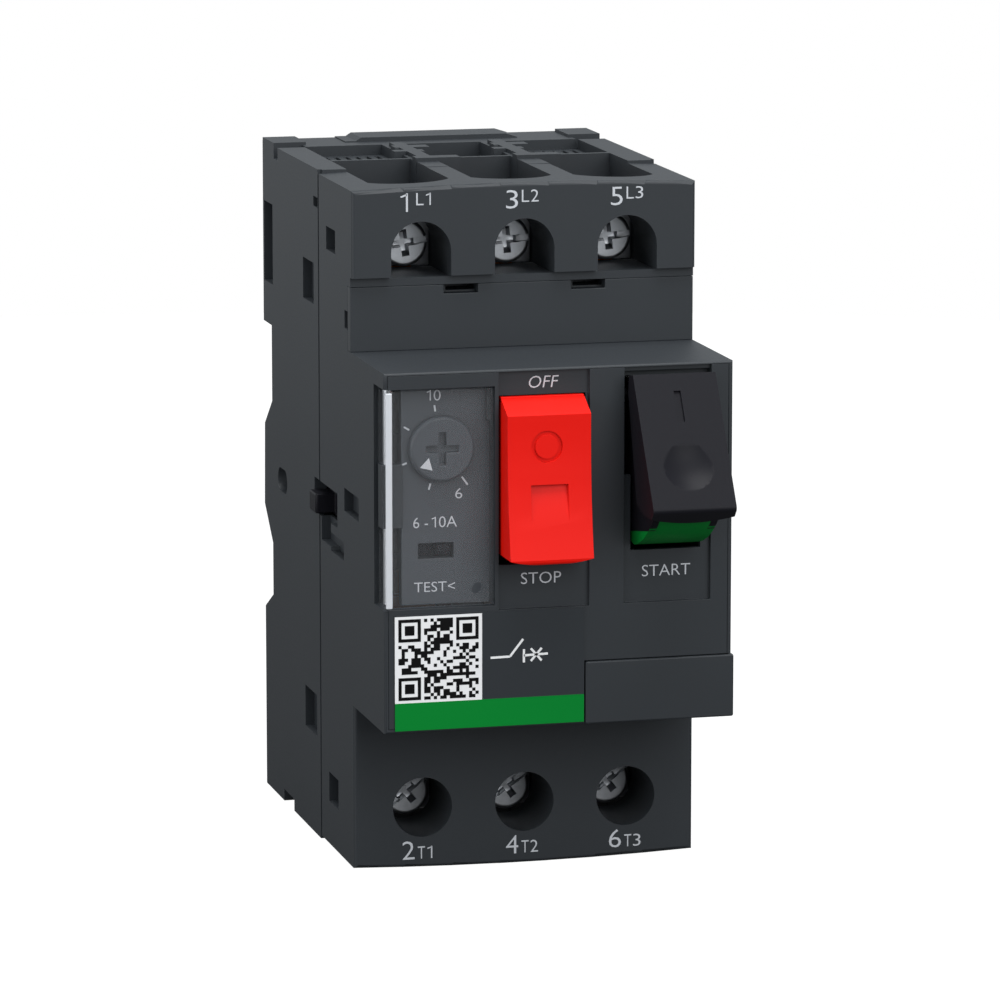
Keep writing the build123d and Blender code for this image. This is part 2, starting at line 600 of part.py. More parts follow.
# ---------------------------------------------------------------- terminals
for row, axis_z in (("line", upper_axis), ("load", lower_axis)):
    for number, x in enumerate(pole_x, start=1):
        with BuildPart() as terminal_screw:
            head_y = (y_screw_head, y_screw_head + screw_head_thick)
            rod_y(x, axis_z, head_y, screw_head_r)
            fillet(terminal_screw.edges().group_by(Axis.Y)[0], 0.5)
            rod_y(x, axis_z, (head_y[1], y_tongue - copper / 2 - move_gap), screw_r)
            slot_y = (y_screw_head, y_screw_head + 1.3)
            block(around(x, screw_head_r), slot_y, around(axis_z, 0.4), Mode.SUBTRACT)
            block(around(x, 0.5), slot_y, around(axis_z, 1.9), Mode.SUBTRACT)
        write(terminal_screw, f"terminal_screw_{row}_{number}")

        with BuildPart() as clamp_cage:
            cage_y = (y_chamber_back - 0.6 - 12.1, y_chamber_back - 0.6)
            cage_z = around(axis_z, cage_height / 2)
            block(around(x, cage_half), cage_y, cage_z)
            inner_y = (cage_y[0] + cage_wall + 0.2, cage_y[1] - cage_wall)
            block(around(x, cage_half - 0.8), inner_y, cage_z, Mode.SUBTRACT)
            rod_y(x, axis_z, (cage_y[0], inner_y[0]), screw_r + run_gap, Mode.SUBTRACT)
        write(clamp_cage, f"clamp_cage_{row}_{number}")

# ---------------------------------------------------------------- current path
y_bar = y_inner - copper / 2
y_fixed_tip = (y_inner - copper - tip_thick, y_inner - copper)
y_moving_tip = (y_fixed_tip[0] - contact_gap - 0.8, y_fixed_tip[0] - contact_gap)
y_bridge = (y_moving_tip[0] - copper, y_moving_tip[0])

for name, side in (("line_busbars", 1), ("load_busbars", -1)):
    tongue_end = upper_axis + 5.0 if side > 0 else -lower_axis + 5.0
    with BuildPart() as busbars:
        for x in pole_x:
            with BuildSketch(Plane.YZ.offset(x)):
                with BuildLine():
                    Polyline(
                        (y_tongue, side * tongue_end), (y_tongue, side * leg_z),
                        (y_bar, side * leg_z), (y_bar, side * (contact_z - 2.6)),
                    )
                trace(line_width=copper)
            extrude(amount=bar_half, both=True)
    write(busbars, name)

with BuildPart() as fixed_contact_tips:
    for x in pole_x:
        for z in (-contact_z, contact_z):
            block(around(x, 1.8), y_fixed_tip, around(z, 1.5))
write(fixed_contact_tips, "fixed_contact_tips")

with BuildPart() as contact_bridges:
    for x in pole_x:
        block(around(x, 2.4), y_bridge, around(0, contact_z + 1.7))
        for z in (-contact_z, contact_z):
            block(around(x, 1.8), y_moving_tip, around(z, 1.5))
write(contact_bridges, "contact_bridges")

with BuildPart() as contact_carrier:
    y_crossbar = (-43.0, -39.0)
    y_finger_end = y_bridge[1] + 1.2
    block(around(0, pole_pitch + 5.5), y_crossbar, around(0, 4.0))
    for x in pole_x:
        block(around(x, 3.6), (y_crossbar[1], y_finger_end), around(0, 2.6))
        block(around(x, 2.5), (y_bridge[0] - 12.6, y_bridge[1]), around(0, 2.6), Mode.SUBTRACT)
write(contact_carrier, "contact_carrier")

with BuildPart() as contact_springs:
    for x in pole_x:
        for turn in range(9):
            spring_y = y_bridge[0] - 0.35 - turn * 1.49
            with Locations(Location((x, spring_y, 0), (90, 0, 0))):
                Torus(1.7, 0.3)
write(contact_springs, "contact_springs")

with BuildPart() as arc_chute_plates:
    for x in pole_x:
        for side in (-1, 1):
            for step in range(5):
                plate_z = side * (12.6 + step * 2.3)
                block(around(x, bar_half - 0.6), (-20.0, y_inner - copper - 1.4), around(plate_z, 0.5))
write(arc_chute_plates, "arc_chute_plates")

with BuildPart() as arc_chute_cheeks:
    for x in pole_x:
        for side in (-1, 1):
            cheek_z = sorted((side * 12.0, side * 22.8))
            for cheek_x in ((x - bar_half, x - bar_half + 0.6), (x + bar_half - 0.6, x + bar_half)):
                block(cheek_x, (-20.4, y_inner - copper - 1.0), cheek_z)
write(arc_chute_cheeks, "arc_chute_cheeks")

# ---------------------------------------------------------------- magnetic and thermal trips
coil_z = 15.4
y_coil = (-38.0, -26.0)
yoke_thick = 1.2
yoke_half = 3.6
plunger_r = 1.5
plunger_travel = 2.0
y_plunger = (-45.0, -30.0)

with BuildPart() as magnet_yokes:
    for x in pole_x:
        for y in ((y_coil[0] - yoke_thick, y_coil[0]), (y_coil[1], y_coil[1] + yoke_thick)):
            block(around(x, yoke_half), y, (coil_z - 4.4, cavity_top))
        top_y = (y_coil[0] - yoke_thick, y_coil[1] + yoke_thick)
        block(around(x, yoke_half), top_y, (cavity_top - yoke_thick, cavity_top))
        rod_y(x, coil_z, (y_coil[0] - yoke_thick, y_coil[0]), plunger_r + run_gap, Mode.SUBTRACT)
write(magnet_yokes, "magnet_yokes")

with BuildPart() as coil_bobbins:
    for x in pole_x:
        rod_y(x, coil_z, y_coil, 2.4)
        for y in ((y_coil[0], y_coil[0] + 0.8), (y_coil[1] - 0.8, y_coil[1])):
            rod_y(x, coil_z, y, 3.8)
        rod_y(x, coil_z, y_coil, plunger_r + 0.1, Mode.SUBTRACT)
write(coil_bobbins, "coil_bobbins")

with BuildPart() as trip_coils:
    for x in pole_x:
        rod_y(x, coil_z, (y_coil[0] + 0.8, y_coil[1] - 0.8), 3.1)
        for turn in range(7):
            with Locations(Location((x, y_coil[0] + 1.6 + turn * 1.46, coil_z), (90, 0, 0))):
                Torus(3.1, 0.65)
        rod_y(x, coil_z, (y_coil[0] + 0.8, y_coil[1] - 0.8), 2.4, Mode.SUBTRACT)
write(trip_coils, "trip_coils")

for number, x in enumerate(pole_x, start=1):
    with BuildPart() as trip_plunger:
        rod_y(x, coil_z, y_plunger, plunger_r)
        rod_y(x, coil_z, (y_plunger[0], y_plunger[0] + 1.0), 2.2)
    write(trip_plunger, f"trip_plunger_{number}")

with BuildPart() as bimetal_strips:
    y_bimetal = around(-42.0, 0.4)
    for x in pole_x:
        block(around(x, 2.2), y_bimetal, (-leg_z + 6.4, -6.5))
        foot_z = (-leg_z + 6.4, -leg_z + 7.6)
        block(around(x, 2.2), (y_bimetal[0], y_tongue - copper / 2), foot_z)
        block(around(x, 2.2), (y_tongue - copper / 2 - 0.6, y_tongue - copper / 2), (-leg_z - 0.6, foot_z[1]))
write(bimetal_strips, "bimetal_strips")

with BuildPart() as heater_windings:
    for x in pole_x:
        block(around(x, 3.0), around(-42.0, 1.2), (-18.6, -9.4))
        for turn in range(6):
            turn_z = around(-17.6 + turn * 1.5, 0.4)
            block(around(x, 3.3), around(-42.0, 1.5), turn_z)
        block(around(x, 2.2), y_bimetal, (-18.6, -9.4), Mode.SUBTRACT)
write(heater_windings, "heater_windings")

# ---------------------------------------------------------------- trip bar and mechanism
trip_axis = (-50.0, 3.0)
trip_rod_r = 1.4
plate_x = ((2.6, 3.8), (8.2, 9.4))
latch_axis = (-52.5, 13.0)
lever_axis = (-51.0, -12.0)
mech_pin_r = 1.0
mech_x = (plate_x[0][1] + move_gap, plate_x[1][0] - move_gap)

with BuildPart() as trip_bar:
    rod_x(*trip_axis, around(0, pole_pitch + 5.0), trip_rod_r)
    for x in pole_x:
        finger_x = around(x, 1.5)
        block(finger_x, (-48.6, y_plunger[0] - plunger_travel - 0.2), (trip_axis[1], coil_z + 1.6))
        block(finger_x, (trip_axis[0] - 1.0, -47.4), (trip_axis[1] - 1.0, trip_axis[1] + 1.0))
        block(finger_x, (-46.6, -45.2), (-9.0, trip_axis[1] - 0.6))
        block(finger_x, (trip_axis[0], -45.2), (trip_axis[1] - 2.0, trip_axis[1] - 0.6))
write(trip_bar, "trip_bar")

with BuildPart() as mechanism_plates:
    for x in plate_x:
        block(x, (-55.0, -46.5), (cavity_bottom, cavity_top))
        rod_x(*trip_axis, x, trip_rod_r + run_gap, Mode.SUBTRACT)
        rod_x(*latch_axis, x, mech_pin_r, Mode.SUBTRACT)
        rod_x(*lever_axis, x, mech_pin_r, Mode.SUBTRACT)
        block(x, (-53.0, -49.0), (-19.0, -16.0), Mode.SUBTRACT)
write(mechanism_plates, "mechanism_plates")

with BuildPart() as mechanism_pins:
    for axis in (latch_axis, lever_axis):
        rod_x(*axis, (plate_x[0][0], plate_x[1][1]), mech_pin_r)
write(mechanism_pins, "mechanism_pins")

with BuildPart() as latch_lever:
    rod_x(*latch_axis, mech_x, 2.1)
    block(mech_x, around(latch_axis[0], 1.0), (trip_axis[1] + trip_rod_r + 1.0, latch_axis[1]))
    rod_x(*latch_axis, mech_x, mech_pin_r + run_gap, Mode.SUBTRACT)
write(latch_lever, "latch_lever")

with BuildPart() as drive_lever:
    with BuildSketch(Plane.YZ.offset(mech_x[0])):
        with Locations(lever_axis):
            Circle(2.3)
        with BuildLine():
            Polyline(
                (lever_axis[0] - 1.6, lever_axis[1] + 1.0), (-46.6, -1.6), (-43.9, -1.6), (-43.9, -3.4),
                (lever_axis[0] + 1.8, lever_axis[1] - 0.5), close=True,
            )
        make_face()
        with Locations(lever_axis):
            Circle(mech_pin_r + run_gap, mode=Mode.SUBTRACT)
    extrude(amount=mech_x[1] - mech_x[0])
write(drive_lever, "drive_lever")

# ---------------------------------------------------------------- side drive tab
with BuildPart() as side_drive_tab:
    block((-side_x + wall + move_gap, -side_x + wall + 1.3), (-36.0, -26.5), (-2.5, 3.5))
    block((-side_x - 0.8, -side_x + wall + move_gap), (-30.4, -26.5), (-0.8, 1.8))
    tab_edges = side_drive_tab.edges().filter_by(Axis.Z).group_by(Axis.X)[0]
    fillet(tab_edges, 0.4)
write(side_drive_tab, "side_drive_tab")

# ---------------------------------------------------------------- rail clip and its spring
clip_bottom = z_bottom + wall + 5.5

with BuildPart() as rail_clip:
    block(around(0, 6.0), (0.7, 3.3), (clip_bottom, channel_bottom - 0.8))
    block(around(0, 6.0), (flange_gap, 3.3), (channel_bottom - 0.8, channel_bottom + 2.2))
    chamfer(rail_clip.edges().filter_by(Axis.X).group_by(Axis.Z)[-1], 0.5)
    block(around(0, 2.0), (0.7, 3.3), (clip_bottom + 3.0, clip_bottom + 4.4), Mode.SUBTRACT)
write(rail_clip, "rail_clip")

with BuildPart() as rail_clip_spring:
    for turn in range(6):
        with Locations((0, 2.0, z_bottom + wall + 0.35 + turn * 0.96)):
            Torus(1.1, 0.3)
write(rail_clip_spring, "rail_clip_spring")

# ---------------------------------------------------------------- housing screws
with BuildPart() as housing_screws:
    for x in (-bolt_x, bolt_x):
        for z in (-bolt_z, bolt_z):
            rod_y(x, z, (y_seam - 7.0, y_back - 2.2), bolt_r)
            rod_y(x, z, (y_back - 2.2, y_back - 0.6), bolt_head_r)
            block(around(x, 1.5), (y_back - 1.4, y_back - 0.6), around(z, 0.3), Mode.SUBTRACT)
            block(around(x, 0.3), (y_back - 1.4, y_back - 0.6), around(z, 1.5), Mode.SUBTRACT)
write(housing_screws, "housing_screws")
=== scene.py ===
"""Looks of the three-pole motor protection breaker, laid out as a Blender add-on script.

Lengths are metres in the breaker's own frame: X to the right seen from the front,
Y backwards into the rail, Z up, with the origin on the rail seat.
"""

import json
import math
import random

import bpy
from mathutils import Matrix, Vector

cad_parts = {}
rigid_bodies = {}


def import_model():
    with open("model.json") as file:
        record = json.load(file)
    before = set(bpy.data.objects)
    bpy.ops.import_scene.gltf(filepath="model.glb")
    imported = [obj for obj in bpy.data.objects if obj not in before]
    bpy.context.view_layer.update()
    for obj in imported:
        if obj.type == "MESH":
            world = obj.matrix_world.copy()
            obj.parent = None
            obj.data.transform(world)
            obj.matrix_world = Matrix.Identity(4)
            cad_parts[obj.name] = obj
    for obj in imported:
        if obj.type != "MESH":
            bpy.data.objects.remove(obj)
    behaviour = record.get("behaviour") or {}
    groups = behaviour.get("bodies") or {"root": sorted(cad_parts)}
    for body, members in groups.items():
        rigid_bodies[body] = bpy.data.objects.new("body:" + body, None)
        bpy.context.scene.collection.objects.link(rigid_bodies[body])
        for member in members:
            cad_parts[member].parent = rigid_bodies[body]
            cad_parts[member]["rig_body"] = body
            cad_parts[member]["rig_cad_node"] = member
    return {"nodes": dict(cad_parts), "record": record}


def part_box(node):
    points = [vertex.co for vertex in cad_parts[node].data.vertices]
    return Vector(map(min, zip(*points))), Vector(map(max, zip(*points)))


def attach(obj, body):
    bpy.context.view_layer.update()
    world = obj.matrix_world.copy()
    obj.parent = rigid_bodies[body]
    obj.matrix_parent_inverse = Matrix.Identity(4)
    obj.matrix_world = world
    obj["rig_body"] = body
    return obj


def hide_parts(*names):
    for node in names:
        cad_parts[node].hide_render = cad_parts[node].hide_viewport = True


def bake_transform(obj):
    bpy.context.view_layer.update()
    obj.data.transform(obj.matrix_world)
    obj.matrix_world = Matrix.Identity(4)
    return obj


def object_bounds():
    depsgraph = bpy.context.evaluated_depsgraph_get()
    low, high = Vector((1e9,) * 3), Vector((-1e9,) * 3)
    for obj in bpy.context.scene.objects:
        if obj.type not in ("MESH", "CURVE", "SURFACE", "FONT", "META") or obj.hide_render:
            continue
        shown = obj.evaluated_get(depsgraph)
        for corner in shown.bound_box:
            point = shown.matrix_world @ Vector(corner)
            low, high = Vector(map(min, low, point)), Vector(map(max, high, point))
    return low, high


bl_info = {
    "name": "Motor Protection Breaker",
    "version": (1, 0, 0),
    "blender": (4, 5, 0),
    "location": "View3D > Sidebar > Breaker",
    "description": "Builds the visible pieces, finishes and stage of a motor protection breaker",
    "category": "Add Mesh",
}

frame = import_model()
CAD_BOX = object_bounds()
MM = 0.001

# Where the CAD pieces lie, read from the frame
COVER_LOW, COVER_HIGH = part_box("front_cover")
REAR_LOW, REAR_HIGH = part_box("rear_base")
BASE_LOW, BASE_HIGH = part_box("rear_base")
FASCIA_LOW, FASCIA_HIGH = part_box("control_fascia")
CONTROL_Y = FASCIA_LOW.y
STOP_TOP = 19.2 * MM
SEAM_Y = -29.6 * MM
NOTCH_X, NOTCH_Z = (-7.8, 8.9), (30.2, 31.15)
COVER_TERMINAL_Y = -48.7 * MM


# ---------------------------------------------------------------- small helpers
def linear(hex_code, alpha=1.0):
    """An sRGB hex value as linear colour."""
    def channel(part):
        value = int(part, 16) / 255
        return value / 12.92 if value <= 0.04045 else ((value + 0.055) / 1.055) ** 2.4

    return (*(channel(hex_code[i:i + 2]) for i in (0, 2, 4)), alpha)


def deselect():
    """Leaves nothing selected."""
    bpy.ops.object.select_all(action="DESELECT")


def pick(obj):
    """Selects one object and makes it active."""
    deselect()
    obj.select_set(True)
    bpy.context.view_layer.objects.active = obj


def settle(obj, name):
    """Names a piece and puts its place into its mesh."""
    pick(obj)
    bpy.ops.object.transform_apply(location=True, rotation=True, scale=True)
    obj.name = name
    obj.data.name = name
    return obj


def add_block(name, low, high):
    """A box from its lowest to its highest corner."""
    low, high = Vector(low), Vector(high)
    deselect()
    bpy.ops.mesh.primitive_cube_add(size=1, location=(low + high) / 2)
    obj = bpy.context.active_object
    obj.scale = high - low
    return settle(obj, name)


def add_rod(name, start, end, radius, sides=48):
    """A round bar between two points."""
    start, end = Vector(start), Vector(end)
    run = end - start
    deselect()
    bpy.ops.mesh.primitive_cylinder_add(
        vertices=sides, radius=radius, depth=run.length, location=(start + end) / 2,
        rotation=run.to_track_quat("Z", "Y").to_euler())
    return settle(bpy.context.active_object, name)


def select_mesh(obj, part, test):
    """Enters edit mode with the faces, edges or vertices that pass a test on their middle and normal."""
    pick(obj)
    bpy.ops.object.mode_set(mode="EDIT")
    kinds = {"FACE": "FACE", "EDGE": "EDGE", "VERT": "VERT"}
    bpy.ops.mesh.select_mode(type=kinds[part])
    bpy.ops.mesh.select_all(action="DESELECT")
    bpy.ops.object.mode_set(mode="OBJECT")
    mesh = obj.data
    if part == "FACE":
        for face in mesh.polygons:
            face.select = test(face.center, face.normal)
    elif part == "VERT":
        for vert in mesh.vertices:
            vert.select = test(vert.co, vert.normal)
    else:
        for edge in mesh.edges:
            ends = [mesh.vertices[i].co for i in edge.vertices]
            edge.select = test((ends[0] + ends[1]) / 2, ends[1] - ends[0])
    bpy.ops.object.mode_set(mode="EDIT")


def leave_edit():
    """Back to object mode."""
    bpy.ops.object.mode_set(mode="OBJECT")


def cut_plane(obj, point, normal):
    """Cuts away what lies on the normal's side of a plane and closes the cut."""
    pick(obj)
    bpy.ops.object.mode_set(mode="EDIT")
    bpy.ops.mesh.select_all(action="SELECT")
    bpy.ops.mesh.bisect(plane_co=point, plane_no=normal, use_fill=True, clear_outer=True)
    leave_edit()


def modify(obj, kind, **settings):
    """Adds one modifier and applies it."""
    pick(obj)
    bpy.ops.object.modifier_add(type=kind)
    modifier = obj.modifiers[-1]
    for key, value in settings.items():
        setattr(modifier, key, value)
    bpy.ops.object.modifier_apply(modifier=modifier.name)


def boolean(obj, tool, operation="DIFFERENCE"):
    """Cuts with a tool piece, or joins it, and removes the tool."""
    modify(obj, "BOOLEAN", object=tool, operation=operation, solver="EXACT")
    bpy.data.objects.remove(tool)


def round_edges(obj, width, segments=2, angle=30):
    """Rounds every edge sharper than the angle."""
    modify(obj, "BEVEL", width=width, segments=segments, limit_method="ANGLE",
           angle_limit=math.radians(angle), use_clamp_overlap=True, harden_normals=False)


def smooth(obj, angle=35):
    """Shades smooth across edges flatter than the angle, with wide flat faces kept flat."""
    pick(obj)
    bpy.ops.object.shade_smooth_by_angle(angle=math.radians(angle))
    modify(obj, "WEIGHTED_NORMAL", keep_sharp=True, weight=100, mode="FACE_AREA_WITH_ANGLE")


def copy_node(node, name):
    """A clean copy of a CAD node's mesh: joined corners and flat faces merged."""
    pick(frame["nodes"][node])
    frame["nodes"][node].hide_set(False)
    bpy.ops.object.duplicate()
    obj = bpy.context.active_object
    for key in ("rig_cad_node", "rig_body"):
        if key in obj:
            del obj[key]
    obj.parent = None
    obj.name = name
    obj.data.name = name
    pick(obj)
    bpy.ops.object.mode_set(mode="EDIT")
    bpy.ops.mesh.select_all(action="SELECT")
    bpy.ops.mesh.remove_doubles(threshold=0.004 * MM)
    bpy.ops.mesh.dissolve_limited(angle_limit=math.radians(1.0))
    leave_edit()
    return obj


def join_pieces(objects, name):
    """Joins objects into the first one and names it."""
    pick(objects[0])
    for obj in objects:
        obj.select_set(True)
    bpy.ops.object.join()
    joined = bpy.context.active_object
    joined.name = name
    joined.data.name = name
    return joined


def own_copy(obj, name, turn=0.0, centre=(0, 0, 0), shift=(0, 0, 0)):
    """A copy with its own mesh, turned about the Y axis through a centre and then moved."""
    pick(obj)
    bpy.ops.object.duplicate()
    twin = bpy.context.active_object
    twin.name = name
    twin.data.name = name
    pick(twin)
    bpy.ops.object.mode_set(mode="EDIT")
    bpy.ops.mesh.select_all(action="SELECT")
    bpy.ops.transform.rotate(value=turn, orient_axis="Y", orient_type="GLOBAL", center_override=centre)
    bpy.ops.transform.translate(value=shift)
    leave_edit()
    return twin


def add_helix(name, start, axis, radius, wire, pitch, turns, sides=8, steps=20):
    """A wound wire with closed ends, from a start point along an axis."""
    deselect()
    bpy.ops.mesh.primitive_circle_add(
        vertices=sides, radius=wire, fill_type="NGON", location=(radius, 0, 0), rotation=(math.pi / 2, 0, 0))
    coil = settle(bpy.context.active_object, name)
    modify(coil, "SCREW", axis="Z", angle=math.tau * turns, screw_offset=pitch * turns,
           steps=int(steps * turns), render_steps=int(steps * turns), use_merge_vertices=False)
    pick(coil)
    bpy.ops.object.mode_set(mode="EDIT")
    bpy.ops.mesh.select_all(action="SELECT")
    bpy.ops.mesh.remove_doubles(threshold=0.0005 * MM)
    bpy.ops.mesh.fill_holes(sides=sides)
    bpy.ops.mesh.normals_make_consistent(inside=False)
    leave_edit()
    coil.rotation_euler = Vector(axis).to_track_quat("Z", "Y").to_euler()
    coil.location = start
    settle(coil, name)
    bpy.ops.object.shade_smooth_by_angle(angle=math.radians(50))
    return coil


def add_words(name, words, box_x, box_z, y, thickness, lean=0.0):
    """Raised lettering that fills a box in X and Z on a face towards the viewer."""
    deselect()
    bpy.ops.object.text_add()
    text = bpy.context.active_object
    text.data.body = words
    text.data.shear = lean
    text.data.resolution_u = 3
    text.data.extrude = 0.5
    text.data.offset = -0.008
    bpy.ops.object.convert(target="MESH")
    letters = bpy.context.active_object
    low = Vector(letters.bound_box[0])
    high = Vector(letters.bound_box[6])
    size = high - low
    scale = Vector(((box_x[1] - box_x[0]) / size.x, (box_z[1] - box_z[0]) / size.y, thickness / size.z))
    middle = (low + high) / 2
    letters.scale = scale
    letters.rotation_euler = (math.pi / 2, 0, 0)
    letters.location = Vector((
        (box_x[0] + box_x[1]) / 2 - middle.x * scale.x, y - thickness / 2 + middle.z * scale.z,
        (box_z[0] + box_z[1]) / 2 - middle.y * scale.y))
    settle(letters, name)
    bpy.ops.object.mode_set(mode="EDIT")
    bpy.ops.mesh.select_all(action="SELECT")
    bpy.ops.mesh.remove_doubles(threshold=0.002 * MM)
    leave_edit()
    return letters


def add_stroke(name, start, end, y, width, thickness):
    """A printed line from one (x, z) point to another on a face towards the viewer."""
    run = Vector((end[0] - start[0], 0, end[1] - start[1]))
    deselect()
    bpy.ops.mesh.primitive_cube_add(
        size=1, location=((start[0] + end[0]) / 2, y - thickness / 2, (start[1] + end[1]) / 2),
        rotation=(0, -math.atan2(run.z, run.x), 0))
    stroke = bpy.context.active_object
    stroke.scale = (run.length, thickness, width)
    return settle(stroke, name)


def add_one(left, low_z, high_z, y, width, thickness):
    """The figure 1 with its flag, from its left edge."""
    stem = left + 0.36 * (high_z - low_z)
    flag = add_stroke(
        "one_flag", (left + 0.1 * width, high_z - 0.3 * (stem - left) - 0.09 * (high_z - low_z)),
        (stem, high_z - 0.7 * width), y, 0.8 * width, thickness)
    return join_pieces(
        [add_stroke("one_stem", (stem, low_z), (stem, high_z), y, width, thickness), flag], "one")


def finish_piece(obj, body, materials, stands_for=()):
    """Gives a piece its finish and its body, and hides the CAD nodes that it stands for."""
    if obj.data.materials:
        obj.data.materials.clear()
    for material in materials if isinstance(materials, (list, tuple)) else [materials]:
        obj.data.materials.append(material)
    if body is not None:
        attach(obj, body)
    if stands_for:
        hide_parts(*stands_for)
    return obj


# ---------------------------------------------------------------- finishes
def add_node(tree, kind, inputs=None, **settings):
    """Adds one node; inputs maps a socket to a value or to another node's output."""
    node = tree.nodes.new(kind)
    for key, value in settings.items():
        setattr(node, key, value)
    for key, value in (inputs or {}).items():
        if isinstance(value, bpy.types.NodeSocket):
            tree.links.new(value, node.inputs[key])
        else:
            node.inputs[key].default_value = value
    return node


def new_material(name, **sockets):
    """An empty material with one shader; returns the material, its tree and the shader."""
    material = bpy.data.materials.new(name)
    material.use_nodes = True
    tree = material.node_tree
    shader = tree.nodes["Principled BSDF"]
    for key, value in sockets.items():
        shader.inputs[key.replace("_", " ")].default_value = value
    return material, tree, shader


def moulded_plastic(name, hex_code, roughness, grit, depth, spread=0.06, specular=0.5):
    """Moulded plastic: one colour with slow flow variation and the spark-eroded grain of its mould.

    grit is the grain's size in metres, drawn as coarse as it needs to show.
    """
    material, tree, shader = new_material(name, Roughness=roughness, IOR=1.5, Specular_IOR_Level=specular)
    place = add_node(tree, "ShaderNodeTexCoord").outputs["Object"]
    flow = add_node(tree, "ShaderNodeTexNoise", {"Vector": place, "Scale": 60.0, "Detail": 2.0})
    colour = linear(hex_code)
    dark = tuple(c * (1 - spread) for c in colour[:3]) + (1,)
    light = tuple(min(1.0, c * (1 + spread)) for c in colour[:3]) + (1,)
    mix = add_node(
        tree, "ShaderNodeMix", {"Factor": flow.outputs["Fac"], "A": dark, "B": light}, data_type="RGBA")
    grain = add_node(
        tree, "ShaderNodeTexNoise", {"Vector": place, "Scale": 1 / grit, "Detail": 3.0, "Roughness": 0.6})
    bump = add_node(
        tree, "ShaderNodeBump", {"Height": grain.outputs["Fac"], "Strength": 0.35, "Distance": depth})
    gloss = add_node(
        tree, "ShaderNodeMapRange",
        {"Value": grain.outputs["Fac"], "To Min": roughness - 0.06, "To Max": roughness + 0.06})
    tree.links.new(mix.outputs["Result"], shader.inputs["Base Color"])
    tree.links.new(gloss.outputs["Result"], shader.inputs["Roughness"])
    tree.links.new(bump.outputs["Normal"], shader.inputs["Normal"])
    return material


def plated_metal(name, hex_code, roughness, grain_size, brushed=(1.0, 1.0, 1.0)):
    """Metal with fine drawing or tumbling marks, stretched along the axes given in brushed."""
    material, tree, shader = new_material(name, Metallic=1.0, Roughness=roughness)
    place = add_node(tree, "ShaderNodeTexCoord").outputs["Object"]
    stretch = add_node(tree, "ShaderNodeMapping", {"Vector": place, "Scale": brushed})
    marks = add_node(
        tree, "ShaderNodeTexNoise", {"Vector": stretch.outputs["Vector"], "Scale": 1 / grain_size, "Detail": 4.0})
    colour = linear(hex_code)
    dark = tuple(c * 0.78 for c in colour[:3]) + (1,)
    mix = add_node(
        tree, "ShaderNodeMix", {"Factor": marks.outputs["Fac"], "A": dark, "B": colour}, data_type="RGBA")
    gloss = add_node(
        tree, "ShaderNodeMapRange",
        {"Value": marks.outputs["Fac"], "To Min": roughness - 0.1, "To Max": roughness + 0.12})
    bump = add_node(
        tree, "ShaderNodeBump", {"Height": marks.outputs["Fac"], "Strength": 0.2, "Distance": 0.02 * MM})
    tree.links.new(mix.outputs["Result"], shader.inputs["Base Color"])
    tree.links.new(gloss.outputs["Result"], shader.inputs["Roughness"])
    tree.links.new(bump.outputs["Normal"], shader.inputs["Normal"])
    return material


def clear_polycarbonate(name, hex_code, alpha):
    """Clear moulded polycarbonate: a glossy skin over a see-through body, with a faint haze."""
    material, tree, shader = new_material(
        name, Base_Color=linear(hex_code), Roughness=0.12, IOR=1.585, Alpha=alpha)
    place = add_node(tree, "ShaderNodeTexCoord").outputs["Object"]
    haze = add_node(tree, "ShaderNodeTexNoise", {"Vector": place, "Scale": 90.0, "Detail": 1.0})
    gloss = add_node(
        tree, "ShaderNodeMapRange", {"Value": haze.outputs["Fac"], "To Min": 0.08, "To Max": 0.18})
    tree.links.new(gloss.outputs["Result"], shader.inputs["Roughness"])
    return material


FINISHES = {}


